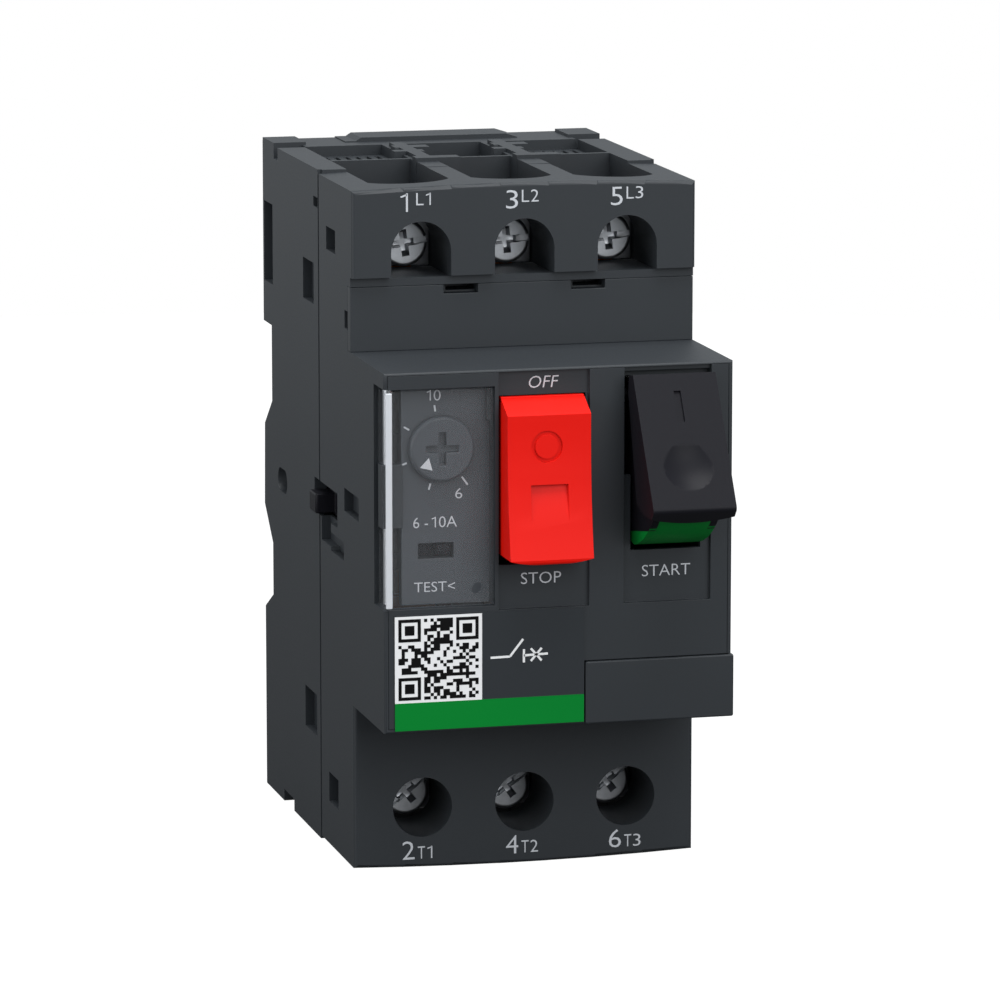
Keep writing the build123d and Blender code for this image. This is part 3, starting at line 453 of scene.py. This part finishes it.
def make_finishes(colours):
    """Every finish of the breaker, from the sidebar's colours."""
    # glass-filled polyamide with a spark-eroded mould face: matt, the grain drawn coarser than life
    FINISHES["housing"] = moulded_plastic("polyamide_slate", colours.housing, 0.55, 0.30 * MM, 0.02 * MM, specular=0.3)
    # the same polyamide in the fascia, strip and plate, with a finer mould face
    FINISHES["fascia"] = moulded_plastic("polyamide_slate_fine", colours.housing, 0.5, 0.25 * MM, 0.012 * MM, specular=0.3)
    # the polyamide of the dial and its tray, some shades lighter
    FINISHES["dial"] = moulded_plastic("polyamide_dial", colours.dial, 0.45, 0.2 * MM, 0.001 * MM, specular=0.25)
    # polished-mould polyamide of the start cap: satin black
    FINISHES["black"] = moulded_plastic("polyamide_black", colours.cap, 0.45, 0.25 * MM, 0.004 * MM, 0.03, 0.1)
    # ABS of the stop button: smooth, even and bright
    FINISHES["red"] = moulded_plastic("abs_signal_red", colours.stop, 0.45, 0.25 * MM, 0.003 * MM, 0.02, 0.12)
    # ABS of the start button's body
    FINISHES["green"] = moulded_plastic("abs_green", colours.start, 0.45, 0.25 * MM, 0.003 * MM, 0.03, 0.12)
    # clear polycarbonate, and a pale near-opaque finish for its front edge: a painted highlight where that edge
    # gathers the light
    FINISHES["clear"] = clear_polycarbonate("polycarbonate_clear", "a4a7ab", 0.045)
    FINISHES["clear_edge"] = clear_polycarbonate("polycarbonate_painted_edge_highlight", "c8cbd0", 0.9)
    # zinc plated steel: grey, with the soft sparkle of the plating crystals
    FINISHES["zinc"] = plated_metal("steel_zinc_plated", colours.zinc, 0.36, 0.5 * MM)
    # drawn spring steel
    FINISHES["spring"] = plated_metal("steel_spring_drawn", "6f7276", 0.34, 0.3 * MM)
    # rolled copper strip, marks along its length
    FINISHES["copper"] = plated_metal("copper_rolled", "b87348", 0.32, 0.6 * MM, (1.0, 1.0, 0.15))
    # silver alloy contact tips
    FINISHES["silver"] = plated_metal("silver_alloy", "c9c8c3", 0.28, 0.4 * MM)
    # vulcanised fibre of the arc chutes: brick red and dull
    FINISHES["fibre"] = moulded_plastic("fibre_vulcanised", "6e3a2a", 0.7, 0.3 * MM, 0.02 * MM, 0.12)
    # enamelled winding wire: glossy brown
    FINISHES["winding"] = moulded_plastic("wire_enamelled", "8a4a24", 0.25, 0.5 * MM, 0.004 * MM, 0.1)
    # pad-printed legend ink: light grey-white and matt
    FINISHES["legend"] = moulded_plastic("ink_legend", colours.legend, 0.6, 0.25 * MM, 0.002 * MM, 0.02, 0.1)
    # printed polyester film of the label: dark ground, white and black areas, green band
    FINISHES["film"] = moulded_plastic("film_dark", colours.housing, 0.42, 0.25 * MM, 0.003 * MM, 0.02, 0.25)
    FINISHES["film_white"] = moulded_plastic("film_white", "d9dadb", 0.5, 0.25 * MM, 0.002 * MM, 0.01, 0.1)
    FINISHES["film_black"] = moulded_plastic("film_black", "060607", 0.5, 0.25 * MM, 0.002 * MM, 0.02, 0.1)
    FINISHES["film_green"] = moulded_plastic("film_green", colours.band, 0.5, 0.25 * MM, 0.002 * MM, 0.02, 0.08)


# ---------------------------------------------------------------- what a user would change
class BreakerSizes(bpy.types.PropertyGroup):
    """Sizes of the visible details."""
    edge: bpy.props.FloatProperty(
        name="Edge rounding", description="Radius of the moulded edges", default=0.22 * MM, unit="LENGTH")
    button_edge: bpy.props.FloatProperty(
        name="Button rounding", description="Radius of the push buttons' edges", default=0.32 * MM, unit="LENGTH")
    ink: bpy.props.FloatProperty(
        name="Ink thickness", description="How far a printed legend stands out", default=0.03 * MM, unit="LENGTH")
    stroke: bpy.props.FloatProperty(
        name="Stroke width", description="Width of the printed lines and ticks", default=0.22 * MM, unit="LENGTH")
    thread: bpy.props.FloatProperty(
        name="Thread pitch", description="Pitch of the terminal screws' thread", default=0.7 * MM, unit="LENGTH")


class BreakerColours(bpy.types.PropertyGroup):
    """Colours as sRGB hex values."""
    housing: bpy.props.StringProperty(
        name="Housing", description="Slate grey of the shells", default="25292d")
    dial: bpy.props.StringProperty(
        name="Dial", description="Grey of the setting dial", default="3d4146")
    cap: bpy.props.StringProperty(
        name="Start cap", description="Black of the start button's cap", default="131318")
    stop: bpy.props.StringProperty(
        name="Stop", description="Red of the stop button", default="d31106")
    start: bpy.props.StringProperty(
        name="Start body", description="Green under the start cap", default="00742a")
    legend: bpy.props.StringProperty(
        name="Legend", description="Ink of the printed legends", default="b6b9be")
    band: bpy.props.StringProperty(
        name="Label band", description="Green band of the label", default="007429")
    zinc: bpy.props.StringProperty(
        name="Plated steel", description="Zinc plating of screws and cages", default="b2b5b9")


# ---------------------------------------------------------------- pieces
class BREAKER_OT_shells(bpy.types.Operator):
    """Housing shells, fascia, strip and marker plate with moulded edges"""
    bl_idname = "breaker.shells"
    bl_label = "Shells"

    def execute(self, context):
        edge = context.scene.breaker_sizes.edge
        for node, finish in (
                ("rear_base", "housing"), ("front_cover", "housing"), ("control_fascia", "fascia"),
                ("blanking_strip", "fascia"), ("marker_plate", "fascia")):
            shell = copy_node(node, f"{node}_moulded")
            round_edges(shell, edge, 2)
            smooth(shell)
            finish_piece(shell, "housing", FINISHES[finish], [node])
        return {"FINISHED"}


def moulded_copy(node, body, finish, edge, segments=2):
    """A CAD piece with its edges rounded as moulded or tumbled, standing for its node."""
    piece = copy_node(node, f"{node}_detailed")
    round_edges(piece, edge, segments)
    smooth(piece)
    return finish_piece(piece, body, FINISHES[finish], [node])


class BREAKER_OT_inner_finishes(bpy.types.Operator):
    """Finishes of the pieces that keep their CAD shape"""
    bl_idname = "breaker.inner_finishes"
    bl_label = "Inner pieces"

    def execute(self, context):
        by_slot = {
            "housing_plastic": "housing", "black_plastic": "black", "red_plastic": "red",
            "green_plastic": "green", "clear_plastic": "clear", "label_film": "film",
            "zinc_steel": "zinc", "copper": "copper", "silver": "silver", "fibre": "fibre",
        }
        # painted shade: the pins deep in the button openings get the black finish in place of their slot's finish
        by_node = {"button_pins": "black"}
        for row in frame["record"]["subparts"]:
            mesh = frame["nodes"][row["node"]].data
            mesh.materials.clear()
            mesh.materials.append(FINISHES[by_node.get(row["node"], by_slot[row["material_slot"]])])
        return {"FINISHED"}


class BREAKER_OT_shells(bpy.types.Operator):
    """Housing shells, fascia, strip and marker plate with moulded edges"""
    bl_idname = "breaker.shells"
    bl_label = "Shells"

    def execute(self, context):
        edge = context.scene.breaker_sizes.edge
        for node, finish in (
                ("rear_base", "housing"), ("front_cover", "housing"), ("control_fascia", "fascia"),
                ("blanking_strip", "fascia"), ("marker_plate", "fascia")):
            shell = copy_node(node, f"{node}_detailed")
            if node == "rear_base":
                # the rear ears' outer corners are well rounded
                select_mesh(shell, "EDGE", lambda middle, run: (
                    abs(run.normalized().y) > 0.99 and abs(middle.x) > REAR_HIGH.x - 0.4 * MM
                    and middle.z > REAR_HIGH.z - 1.6 * MM))
                bpy.ops.mesh.bevel(offset=1.0 * MM, segments=5, affect="EDGES", clamp_overlap=True)
                leave_edit()
                # the seam between the shells shows as a groove down both sides
                for side in (-1, 1):
                    x = sorted((side * COVER_HIGH.x, side * (COVER_HIGH.x - 0.5 * MM)))
                    seam = add_block(
                        "seam", (x[0] - (side < 0) * MM, REAR_LOW.y - 1 * MM, REAR_LOW.z - 1 * MM),
                        (x[1] + (side > 0) * MM, SEAM_Y + 0.6 * MM, REAR_HIGH.z + 1 * MM))
                    boolean(shell, seam)
            if node in ("front_cover", "blanking_strip"):
                # two finger notches along the strip's top edge, open to the inside
                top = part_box("blanking_strip")[1].z if node == "blanking_strip" else NOTCH_Z[1] * MM
                for x in NOTCH_X:
                    notch = add_block(
                        "notch", ((x - 1.95) * MM, COVER_TERMINAL_Y - 1 * MM, NOTCH_Z[0] * MM),
                        ((x + 1.95) * MM, COVER_TERMINAL_Y + 6 * MM, top + (node == "blanking_strip") * MM))
                    boolean(shell, notch)
            round_edges(shell, edge)
            smooth(shell)
            finish_piece(shell, "housing", FINISHES[finish], [node])
            if node == "control_fascia":
                # the tray floor round the dial, as light as the dial
                shell.data.materials.append(FINISHES["dial"])
                floor_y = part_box("setting_dial")[0].y + 1.3 * MM
                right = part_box("clear_cover")[1].x
                for face in shell.data.polygons:
                    if abs(face.center.y - floor_y) < 0.05 * MM and face.center.x < right:
                        face.material_index = 1
        return {"FINISHED"}


class BREAKER_OT_buttons(bpy.types.Operator):
    """Stop button, start button with its cap, and the test slider"""
    bl_idname = "breaker.buttons"
    bl_label = "Buttons"

    def execute(self, context):
        sizes = context.scene.breaker_sizes
        button = moulded_copy("stop_button", "stop_button", "red", sizes.button_edge, 4)
        # a visor on top that hides the spring
        low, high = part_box("stop_button")
        visor = add_block(
            "visor", (low.x, CONTROL_Y + 0.1 * MM, STOP_TOP - 0.6 * MM),
            (high.x, CONTROL_Y + 1.5 * MM, STOP_TOP + 0.2 * MM))
        round_edges(visor, 0.1 * MM, 2)
        finish_piece(visor, "stop_button", FINISHES["red"])
        moulded_copy("start_button_body", "start_button", "green", sizes.edge, 2)
        moulded_copy("start_button_cap", "start_button", "black", sizes.button_edge, 4)
        moulded_copy("test_slider", "test_slider", "black", sizes.edge, 2)
        moulded_copy("side_drive_tab", "side_drive_tab", "black", sizes.edge, 2)
        return {"FINISHED"}


class BREAKER_OT_dial(bpy.types.Operator):
    """Setting dial with its cross recess and printed pointer"""
    bl_idname = "breaker.dial"
    bl_label = "Setting dial"

    def execute(self, context):
        sizes = context.scene.breaker_sizes
        dial = moulded_copy("setting_dial", "setting_dial", "dial", 0.6 * sizes.edge)
        low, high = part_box("setting_dial")
        centre = Vector(((low.x + high.x) / 2, low.y, (low.z + high.z) / 2))
        # a three-sided arrow head near the rim
        reach, half = 2.8 * MM, 0.95 * MM
        angle = math.radians(-136)
        deselect()
        bpy.ops.mesh.primitive_cylinder_add(
            vertices=3, radius=half, depth=sizes.ink, rotation=(math.pi / 2, 0, 0),
            location=centre + Vector((reach * math.cos(angle), -sizes.ink / 2, reach * math.sin(angle))))
        pointer = settle(bpy.context.active_object, "dial_pointer")
        bpy.ops.object.mode_set(mode="EDIT")
        bpy.ops.mesh.select_all(action="SELECT")
        middle = centre + Vector((reach * math.cos(angle), 0, reach * math.sin(angle)))
        bpy.ops.transform.rotate(
            value=math.pi / 2 - angle, orient_axis="Y", orient_type="GLOBAL", center_override=middle)
        leave_edit()
        finish_piece(pointer, "setting_dial", FINISHES["legend"])
        return {"FINISHED"}


class BREAKER_OT_clear_cover(bpy.types.Operator):
    """Clear cover, with a pale strip along its front edge as painted highlight"""
    bl_idname = "breaker.clear_cover"
    bl_label = "Clear cover"

    def execute(self, context):
        moulded_copy("clear_cover", "clear_cover", "clear", 0.6 * context.scene.breaker_sizes.edge)
        low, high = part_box("clear_cover")
        border = low.x + 0.8 * MM
        # painted highlight: a pale strip along the front edge, running on over the hinge notch
        strip = add_block(
            "painted_highlight_strip", (low.x, low.y, low.z + 0.1 * MM), (border, low.y + 0.4 * MM, high.z - 0.1 * MM))
        round_edges(strip, 0.08 * MM, 2)
        finish_piece(strip, "clear_cover", FINISHES["clear_edge"])
        return {"FINISHED"}


class BREAKER_OT_terminals(bpy.types.Operator):
    """Terminal screws with cross recess, slot and thread, and their clamp cages"""
    bl_idname = "breaker.terminals"
    bl_label = "Terminals"

    def execute(self, context):
        sizes = context.scene.breaker_sizes
        low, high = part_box("terminal_screw_line_1")
        axis_x, axis_z = (low.x + high.x) / 2, (low.z + high.z) / 2
        head_r, head_thick, core_r = (high.x - low.x) / 2, 2.4 * MM, 1.62 * MM
        head = add_rod(
            "screw_head", (axis_x, low.y, axis_z), (axis_x, low.y + head_thick, axis_z), head_r, 64)
        # cheese head with a rounded rim
        select_mesh(head, "EDGE", lambda middle, run: middle.y < low.y + 0.01 * MM)
        bpy.ops.mesh.bevel(offset=0.55 * MM, segments=5, affect="EDGES")
        leave_edit()
        # driver slot right across, and the deeper tapered cross in the middle
        slot = add_block(
            "slot", (axis_x - 4 * MM, low.y - 1 * MM, axis_z - 0.42 * MM),
            (axis_x + 4 * MM, low.y + 0.85 * MM, axis_z + 0.42 * MM))
        boolean(head, slot)
        for half_x, half_z in ((1.95, 0.55), (0.55, 1.95)):
            arm = add_block(
                "arm", (axis_x - half_x * MM, low.y - 0.6 * MM, axis_z - half_z * MM),
                (axis_x + half_x * MM, low.y + 1.5 * MM, axis_z + half_z * MM))
            select_mesh(arm, "FACE", lambda middle, normal: normal.y > 0.5)
            bpy.ops.transform.resize(value=(0.62, 1, 0.62), center_override=(axis_x, low.y, axis_z))
            leave_edit()
            boolean(head, arm)
        round_edges(head, 0.07 * MM, 2)
        smooth(head)
        shank = add_rod(
            "screw_shank", (axis_x, low.y + head_thick - 0.2 * MM, axis_z), (axis_x, high.y, axis_z), core_r, 32)
        select_mesh(shank, "EDGE", lambda middle, run: middle.y > high.y - 0.01 * MM)
        bpy.ops.mesh.bevel(offset=0.4 * MM, segments=2, affect="EDGES")
        leave_edit()
        smooth(shank)
        run_out = 1.0 * MM
        thread = add_helix(
            "screw_thread", (axis_x, low.y + head_thick + 0.5 * MM, axis_z), (0, 1, 0), 1.68 * MM, 0.29 * MM,
            sizes.thread, (high.y - low.y - head_thick - run_out) / sizes.thread, 3, 24)
        master = join_pieces([head, shank, thread], "terminal_screw_master")
        # each screw stopped at its own angle
        turns = {"line": (8, 4, 6), "load": (38, 34, 36)}
        for row, angles in turns.items():
            for number, angle in enumerate(angles, start=1):
                node = f"terminal_screw_{row}_{number}"
                place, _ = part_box(node)
                screw = own_copy(
                    master, f"{node}_detailed", math.radians(angle), (axis_x, low.y, axis_z), place - low)
                finish_piece(screw, node, FINISHES["zinc"], [node])
                cage = f"clamp_cage_{row}_{number}"
                moulded_copy(cage, cage, "zinc", 0.2 * MM)
        bpy.data.objects.remove(master)
        return {"FINISHED"}


class BREAKER_OT_springs(bpy.types.Operator):
    """Wound springs and trip coils"""
    bl_idname = "breaker.springs"
    bl_label = "Springs and coils"

    def execute(self, context):
        low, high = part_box("stop_spring")
        wire = 0.28 * MM
        axis = ((low.y + high.y) / 2, (low.z + high.z) / 2)
        spring = add_helix(
            "stop_spring_wound", (low.x + wire, *axis), (1, 0, 0), (high.y - low.y) / 2 - wire, wire,
            (high.x - low.x - 2 * wire) / 6, 6)
        finish_piece(spring, "housing", FINISHES["spring"], ["stop_spring"])

        # the clip's spring, between its seat in the housing and the moving clip, is left on no body and keeps its
        # length
        low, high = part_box("rail_clip_spring")
        axis_x, axis_y = (low.x + high.x) / 2, (low.y + high.y) / 2
        spring = add_helix(
            "rail_clip_spring_wound", (axis_x, axis_y, low.z + wire), (0, 0, 1), (high.x - low.x) / 2 - wire, wire,
            (high.z - low.z - 2 * wire) / 6, 6)
        finish_piece(spring, None, FINISHES["spring"], ["rail_clip_spring"])
        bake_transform(spring)

        low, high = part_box("contact_springs")
        radius = (high.z - low.z) / 2 - wire
        coils = []
        for x in (low.x + radius + wire, (low.x + high.x) / 2, high.x - radius - wire):
            coils.append(add_helix(
                "contact_coil", (x, low.y + wire, 0), (0, 1, 0), radius, wire,
                (high.y - low.y - 2 * wire) / 8, 8))
        springs = join_pieces(coils, "contact_springs_wound")
        finish_piece(springs, "contact_carrier", FINISHES["spring"], ["contact_springs"])

        low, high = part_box("trip_coils")
        wire = 0.62 * MM
        radius = (high.z - low.z) / 2 - wire
        coils = []
        for x in (low.x + radius + wire, (low.x + high.x) / 2, high.x - radius - wire):
            coils.append(add_helix(
                "trip_coil", (x, low.y + wire, (low.z + high.z) / 2), (0, 1, 0), radius, wire,
                (high.y - low.y - 2 * wire) / 7, 7, 10, 24))
        windings = join_pieces(coils, "trip_coils_wound")
        finish_piece(windings, "housing", FINISHES["winding"], ["trip_coils"])
        return {"FINISHED"}


class BREAKER_OT_small_metal(bpy.types.Operator):
    """Rail clip, housing screws, current bars and contacts with dressed edges"""
    bl_idname = "breaker.small_metal"
    bl_label = "Small metal pieces"

    def execute(self, context):
        for node, body, slot, finish, edge in (
                ("rail_clip", "rail_clip", "zinc_steel", "zinc", 0.15),
                ("housing_screws", "housing", "zinc_steel", "zinc", 0.08),
                ("line_busbars", "housing", "copper", "copper", 0.1),
                ("load_busbars", "housing", "copper", "copper", 0.1),
                ("contact_bridges", "contact_carrier", "copper", "copper", 0.08),
                ("fixed_contact_tips", "housing", "silver", "silver", 0.1)):
            moulded_copy(node, body, finish, edge * MM)
        return {"FINISHED"}


CODE_X, CODE_Z = (-21.2, -10.0), (-18.75, -7.75)
BAND_Z = (-22.28, -18.75)


class BREAKER_OT_label(bpy.types.Operator):
    """Label film with a meaningless square pattern, the breaker symbol and a plain band"""
    bl_idname = "breaker.label"
    bl_label = "Label"

    def execute(self, context):
        sizes = context.scene.breaker_sizes
        low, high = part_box("rating_label")
        face = low.y
        base = copy_node("rating_label", "rating_label_film")
        select_mesh(base, "FACE", lambda middle, normal: normal.y < -0.5)
        leave_edit()
        finish_piece(base, "housing", FINISHES["film"], ["rating_label"])

        field = add_block(
            "code_field", (CODE_X[0] * MM, face - sizes.ink, CODE_Z[0] * MM), (CODE_X[1] * MM, face, CODE_Z[1] * MM))
        finish_piece(field, "housing", FINISHES["film_white"])
        band = add_block(
            "label_band", (low.x, face - sizes.ink, BAND_Z[0] * MM), (high.x, face, BAND_Z[1] * MM))
        finish_piece(band, "housing", FINISHES["film_green"])

        # squares of ink: three corner targets and a seeded scatter between them
        cells = 25
        margin = 0.45 * MM
        side = (CODE_X[1] - CODE_X[0]) * MM - 2 * margin
        middle = Vector(((CODE_X[0] + CODE_X[1]) / 2 * MM, face - sizes.ink, (CODE_Z[0] + CODE_Z[1]) / 2 * MM))
        deselect()
        bpy.ops.mesh.primitive_grid_add(
            x_subdivisions=cells, y_subdivisions=cells, size=side, location=middle, rotation=(math.pi / 2, 0, 0))
        code = settle(bpy.context.active_object, "code_squares")
        scatter = random.Random(7)
        targets = ((0, 0), (0, cells - 7), (cells - 7, cells - 7))

        def is_dark(column, row):
            for left, bottom in targets:
                if left - 1 <= column <= left + 7 and bottom - 1 <= row <= bottom + 7:
                    ring = max(abs(column - left - 3), abs(row - bottom - 3))
                    return ring in (0, 1, 3)
            return scatter.random() < 0.5

        pale = set()
        for polygon in sorted(code.data.polygons, key=lambda p: (round(p.center.z, 6), round(p.center.x, 6))):
            column = int((polygon.center.x - middle.x + side / 2) / side * cells)
            row = int((polygon.center.z - middle.z + side / 2) / side * cells)
            if not is_dark(column, row):
                pale.add(polygon.index)
        centres = {tuple(round(c, 6) for c in code.data.polygons[i].center) for i in pale}
        select_mesh(code, "FACE", lambda middle, normal: tuple(round(c, 6) for c in middle) in centres)
        bpy.ops.mesh.delete(type="FACE")
        leave_edit()
        modify(code, "SOLIDIFY", thickness=0.6 * sizes.ink, offset=1.0)
        finish_piece(code, "housing", FINISHES["film_black"])

        # disconnector and breaker symbol
        strokes = (
            ((-8.9, -13.5), (-6.4, -13.45)), ((-6.4, -13.45), (-4.7, -11.3)), ((-4.6, -14.3), (-4.6, -12.6)),
            ((-4.6, -13.4), (-1.5, -13.3)), ((-3.7, -14.15), (-2.3, -12.55)), ((-3.7, -12.55), (-2.3, -14.15)))
        lines = [
            add_stroke("symbol", [c * MM for c in start], [c * MM for c in end], face, 1.3 * sizes.stroke, sizes.ink)
            for start, end in strokes]
        symbol = join_pieces(lines, "breaker_symbol")
        finish_piece(symbol, "housing", FINISHES["film_white"])
        return {"FINISHED"}


class BREAKER_OT_legends(bpy.types.Operator):
    """Printed terminal numbers, words and dial scale"""
    bl_idname = "breaker.legends"
    bl_label = "Legends"

    def execute(self, context):
        sizes = context.scene.breaker_sizes
        terminal_y = COVER_TERMINAL_Y
        tray_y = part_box("setting_dial")[0].y + 1.3 * MM
        recess_y = CONTROL_Y + 0.6 * MM
        words = []

        def put(text, box_x, box_z, y, lean=0.0):
            words.append(add_words(
                "legend", text, [x * MM for x in box_x], [z * MM for z in box_z], y, sizes.ink, lean))

        def put_one(left, box_z, y):
            width = 0.11 * (box_z[1] - box_z[0]) * MM
            words.append(add_one(left * MM, box_z[0] * MM, box_z[1] * MM, y, width, sizes.ink))

        def put_suffix(letter, number, left, box_z):
            put(letter, (left, left + 0.95), box_z, terminal_y)
            if number == 1:
                put_one(left + 1.25, box_z, terminal_y)
            else:
                put(str(number), (left + 1.2, left + 2.2), box_z, terminal_y)

        for number in (1, 2, 3):
            left = 13.75 * (number - 2) - 2.45
            if number == 1:
                put_one(left, (40.7, 43.05), terminal_y)
            else:
                put(str(2 * number - 1), (left, left + 1.55), (40.7, 43.05), terminal_y)
            put_suffix("L", number, left + 2.05, (41.5, 43.05))
            put(str(2 * number), (left, left + 1.62), (-43.1, -40.7), terminal_y)
            put_suffix("T", number, left + 2.05, (-43.05, -41.45))
        put("OFF", (-3.8, 0.05), (20.35, 21.85), recess_y, 0.18)
        put("STOP", (-4.8, 0.4), (-4.45, -3.0), recess_y)
        put("START", (10.9, 17.2), (-4.2, -2.75), recess_y)
        put_one(-16.35, (18.9, 20.2), tray_y)
        put("0", (-15.45, -14.55), (18.87, 20.23), tray_y)
        put("6", (-12.7, -11.8), (6.4, 7.7), tray_y)
        put("6 -", (-18.1, -16.2), (2.85, 4.2), tray_y)
        put_one(-15.75, (2.85, 4.2), tray_y)
        put("0A", (-14.8, -12.5), (2.83, 4.22), tray_y)
        put("TEST<", (-18.0, -12.75), (-5.3, -4.05), tray_y)
        low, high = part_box("setting_dial")
        dial = Vector(((low.x + high.x) / 2, 0, (low.z + high.z) / 2))
        for degrees, length in ((-54, 1.3), (-106, 0.8), (-158, 0.8), (-211, 0.8), (-262, 0.8)):
            along = Vector((math.cos(math.radians(degrees)), 0, math.sin(math.radians(degrees))))
            near, far = dial + along * 4.65 * MM, dial + along * (4.65 + length) * MM
            words.append(add_stroke("tick", (near.x, near.z), (far.x, far.z), tray_y, sizes.stroke, sizes.ink))
        legends = join_pieces(words, "printed_legends")
        finish_piece(legends, "housing", FINISHES["legend"])
        return {"FINISHED"}


class BREAKER_OT_stage(bpy.types.Operator):
    """Pale floor and backdrop, soft studio lights and the camera"""
    bl_idname = "breaker.stage"
    bl_label = "Stage"

    def execute(self, context):
        deselect()
        bpy.ops.mesh.primitive_circle_add(
            vertices=96, radius=0.45, fill_type="NGON", location=(0, 0, CAD_BOX[0][2]))
        floor = settle(bpy.context.active_object, "studio_floor")
        # matt paper on a light table: white to the eye, throwing little light up
        paper, tree, shader = new_material(
            "paper_white", Base_Color=linear("303030"), Roughness=0.95, Emission_Color=(1, 1, 1, 1))
        seen = add_node(tree, "ShaderNodeLightPath").outputs["Is Camera Ray"]
        glow = add_node(tree, "ShaderNodeMapRange", {"Value": seen, "To Min": 0.08, "To Max": 1.0})
        tree.links.new(glow.outputs["Result"], shader.inputs["Emission Strength"])
        floor.data.materials.append(paper)

        # a white surround for the eye, and a dimmer one for the light it gives
        world = bpy.data.worlds.new("studio")
        context.scene.world = world
        world.use_nodes = True
        sky = world.node_tree
        sky.nodes.clear()
        seen = add_node(sky, "ShaderNodeBackground", {"Color": (1, 1, 1, 1), "Strength": 1.0})
        given = add_node(sky, "ShaderNodeBackground", {"Color": (0.93, 0.97, 1, 1), "Strength": 0.72})
        path = add_node(sky, "ShaderNodeLightPath")
        mix = add_node(sky, "ShaderNodeMixShader", {
            0: path.outputs["Is Camera Ray"], 1: given.outputs["Background"], 2: seen.outputs["Background"]})
        add_node(sky, "ShaderNodeOutputWorld", {"Surface": mix.outputs["Shader"]})

        # large soft boxes: left, front and top
        middle = Vector((0, -40 * MM, 0))
        for name, place, size, power in (
                ("softbox_left", (-0.8, -0.3, 0.12), 0.5, 2.9),
                ("softbox_front", (0.25, -0.9, 0.40), 0.6, 4.6),
                ("softbox_top", (0.0, -0.2, 0.9), 0.6, 10.0)):
            deselect()
            bpy.ops.object.light_add(type="AREA", location=place)
            lamp = bpy.context.active_object
            lamp.name = name
            lamp.data.size = size
            lamp.data.energy = power
            lamp.rotation_euler = (middle - Vector(place)).to_track_quat("-Z", "Y").to_euler()

        azimuth, elevation = math.radians(14.26), math.radians(10.07)
        distance = 752.6 * MM
        target = Vector((-3.25, -48.7, 3.3)) * MM
        back = Vector((
            -math.sin(azimuth) * math.cos(elevation), -math.cos(azimuth) * math.cos(elevation),
            math.sin(elevation)))
        deselect()
        bpy.ops.object.camera_add(location=target + back * distance)
        camera = bpy.context.active_object
        camera.name = "studio_camera"
        camera.rotation_euler = (-back).to_track_quat("-Z", "Y").to_euler()
        camera.data.lens = 212.3
        camera.data.sensor_width = 36.0
        camera.data.clip_start = 0.05
        camera.data.clip_end = 20.0
        context.scene.camera = camera
        context.scene.view_settings.view_transform = "Standard"
        return {"FINISHED"}


OPERATORS = (
    BREAKER_OT_inner_finishes,
    BREAKER_OT_shells,
    BREAKER_OT_buttons,
    BREAKER_OT_dial,
    BREAKER_OT_clear_cover,
    BREAKER_OT_terminals,
    BREAKER_OT_springs,
    BREAKER_OT_small_metal,
    BREAKER_OT_label,
    BREAKER_OT_legends,
    BREAKER_OT_stage,
)


class BREAKER_PT_sidebar(bpy.types.Panel):
    """Lists the pieces of the breaker"""
    bl_idname = "BREAKER_PT_sidebar"
    bl_label = "Motor protection breaker"
    bl_space_type = "VIEW_3D"
    bl_region_type = "UI"
    bl_category = "Breaker"

    def draw(self, context):
        for group in (context.scene.breaker_sizes, context.scene.breaker_colours):
            for key in group.__annotations__:
                self.layout.prop(group, key)
        for operator in OPERATORS:
            self.layout.operator(operator.bl_idname)


CLASSES = (BreakerSizes, BreakerColours, *OPERATORS, BREAKER_PT_sidebar)


def register():
    for item in CLASSES:
        bpy.utils.register_class(item)
    bpy.types.Scene.breaker_sizes = bpy.props.PointerProperty(type=BreakerSizes)
    bpy.types.Scene.breaker_colours = bpy.props.PointerProperty(type=BreakerColours)


def unregister():
    del bpy.types.Scene.breaker_colours
    del bpy.types.Scene.breaker_sizes
    for item in reversed(CLASSES):
        bpy.utils.unregister_class(item)


def main():
    register()
    make_finishes(bpy.context.scene.breaker_colours)
    for operator in OPERATORS:
        group, call = operator.bl_idname.split(".")
        getattr(getattr(bpy.ops, group), call)()


if __name__ == "__main__":
    main()
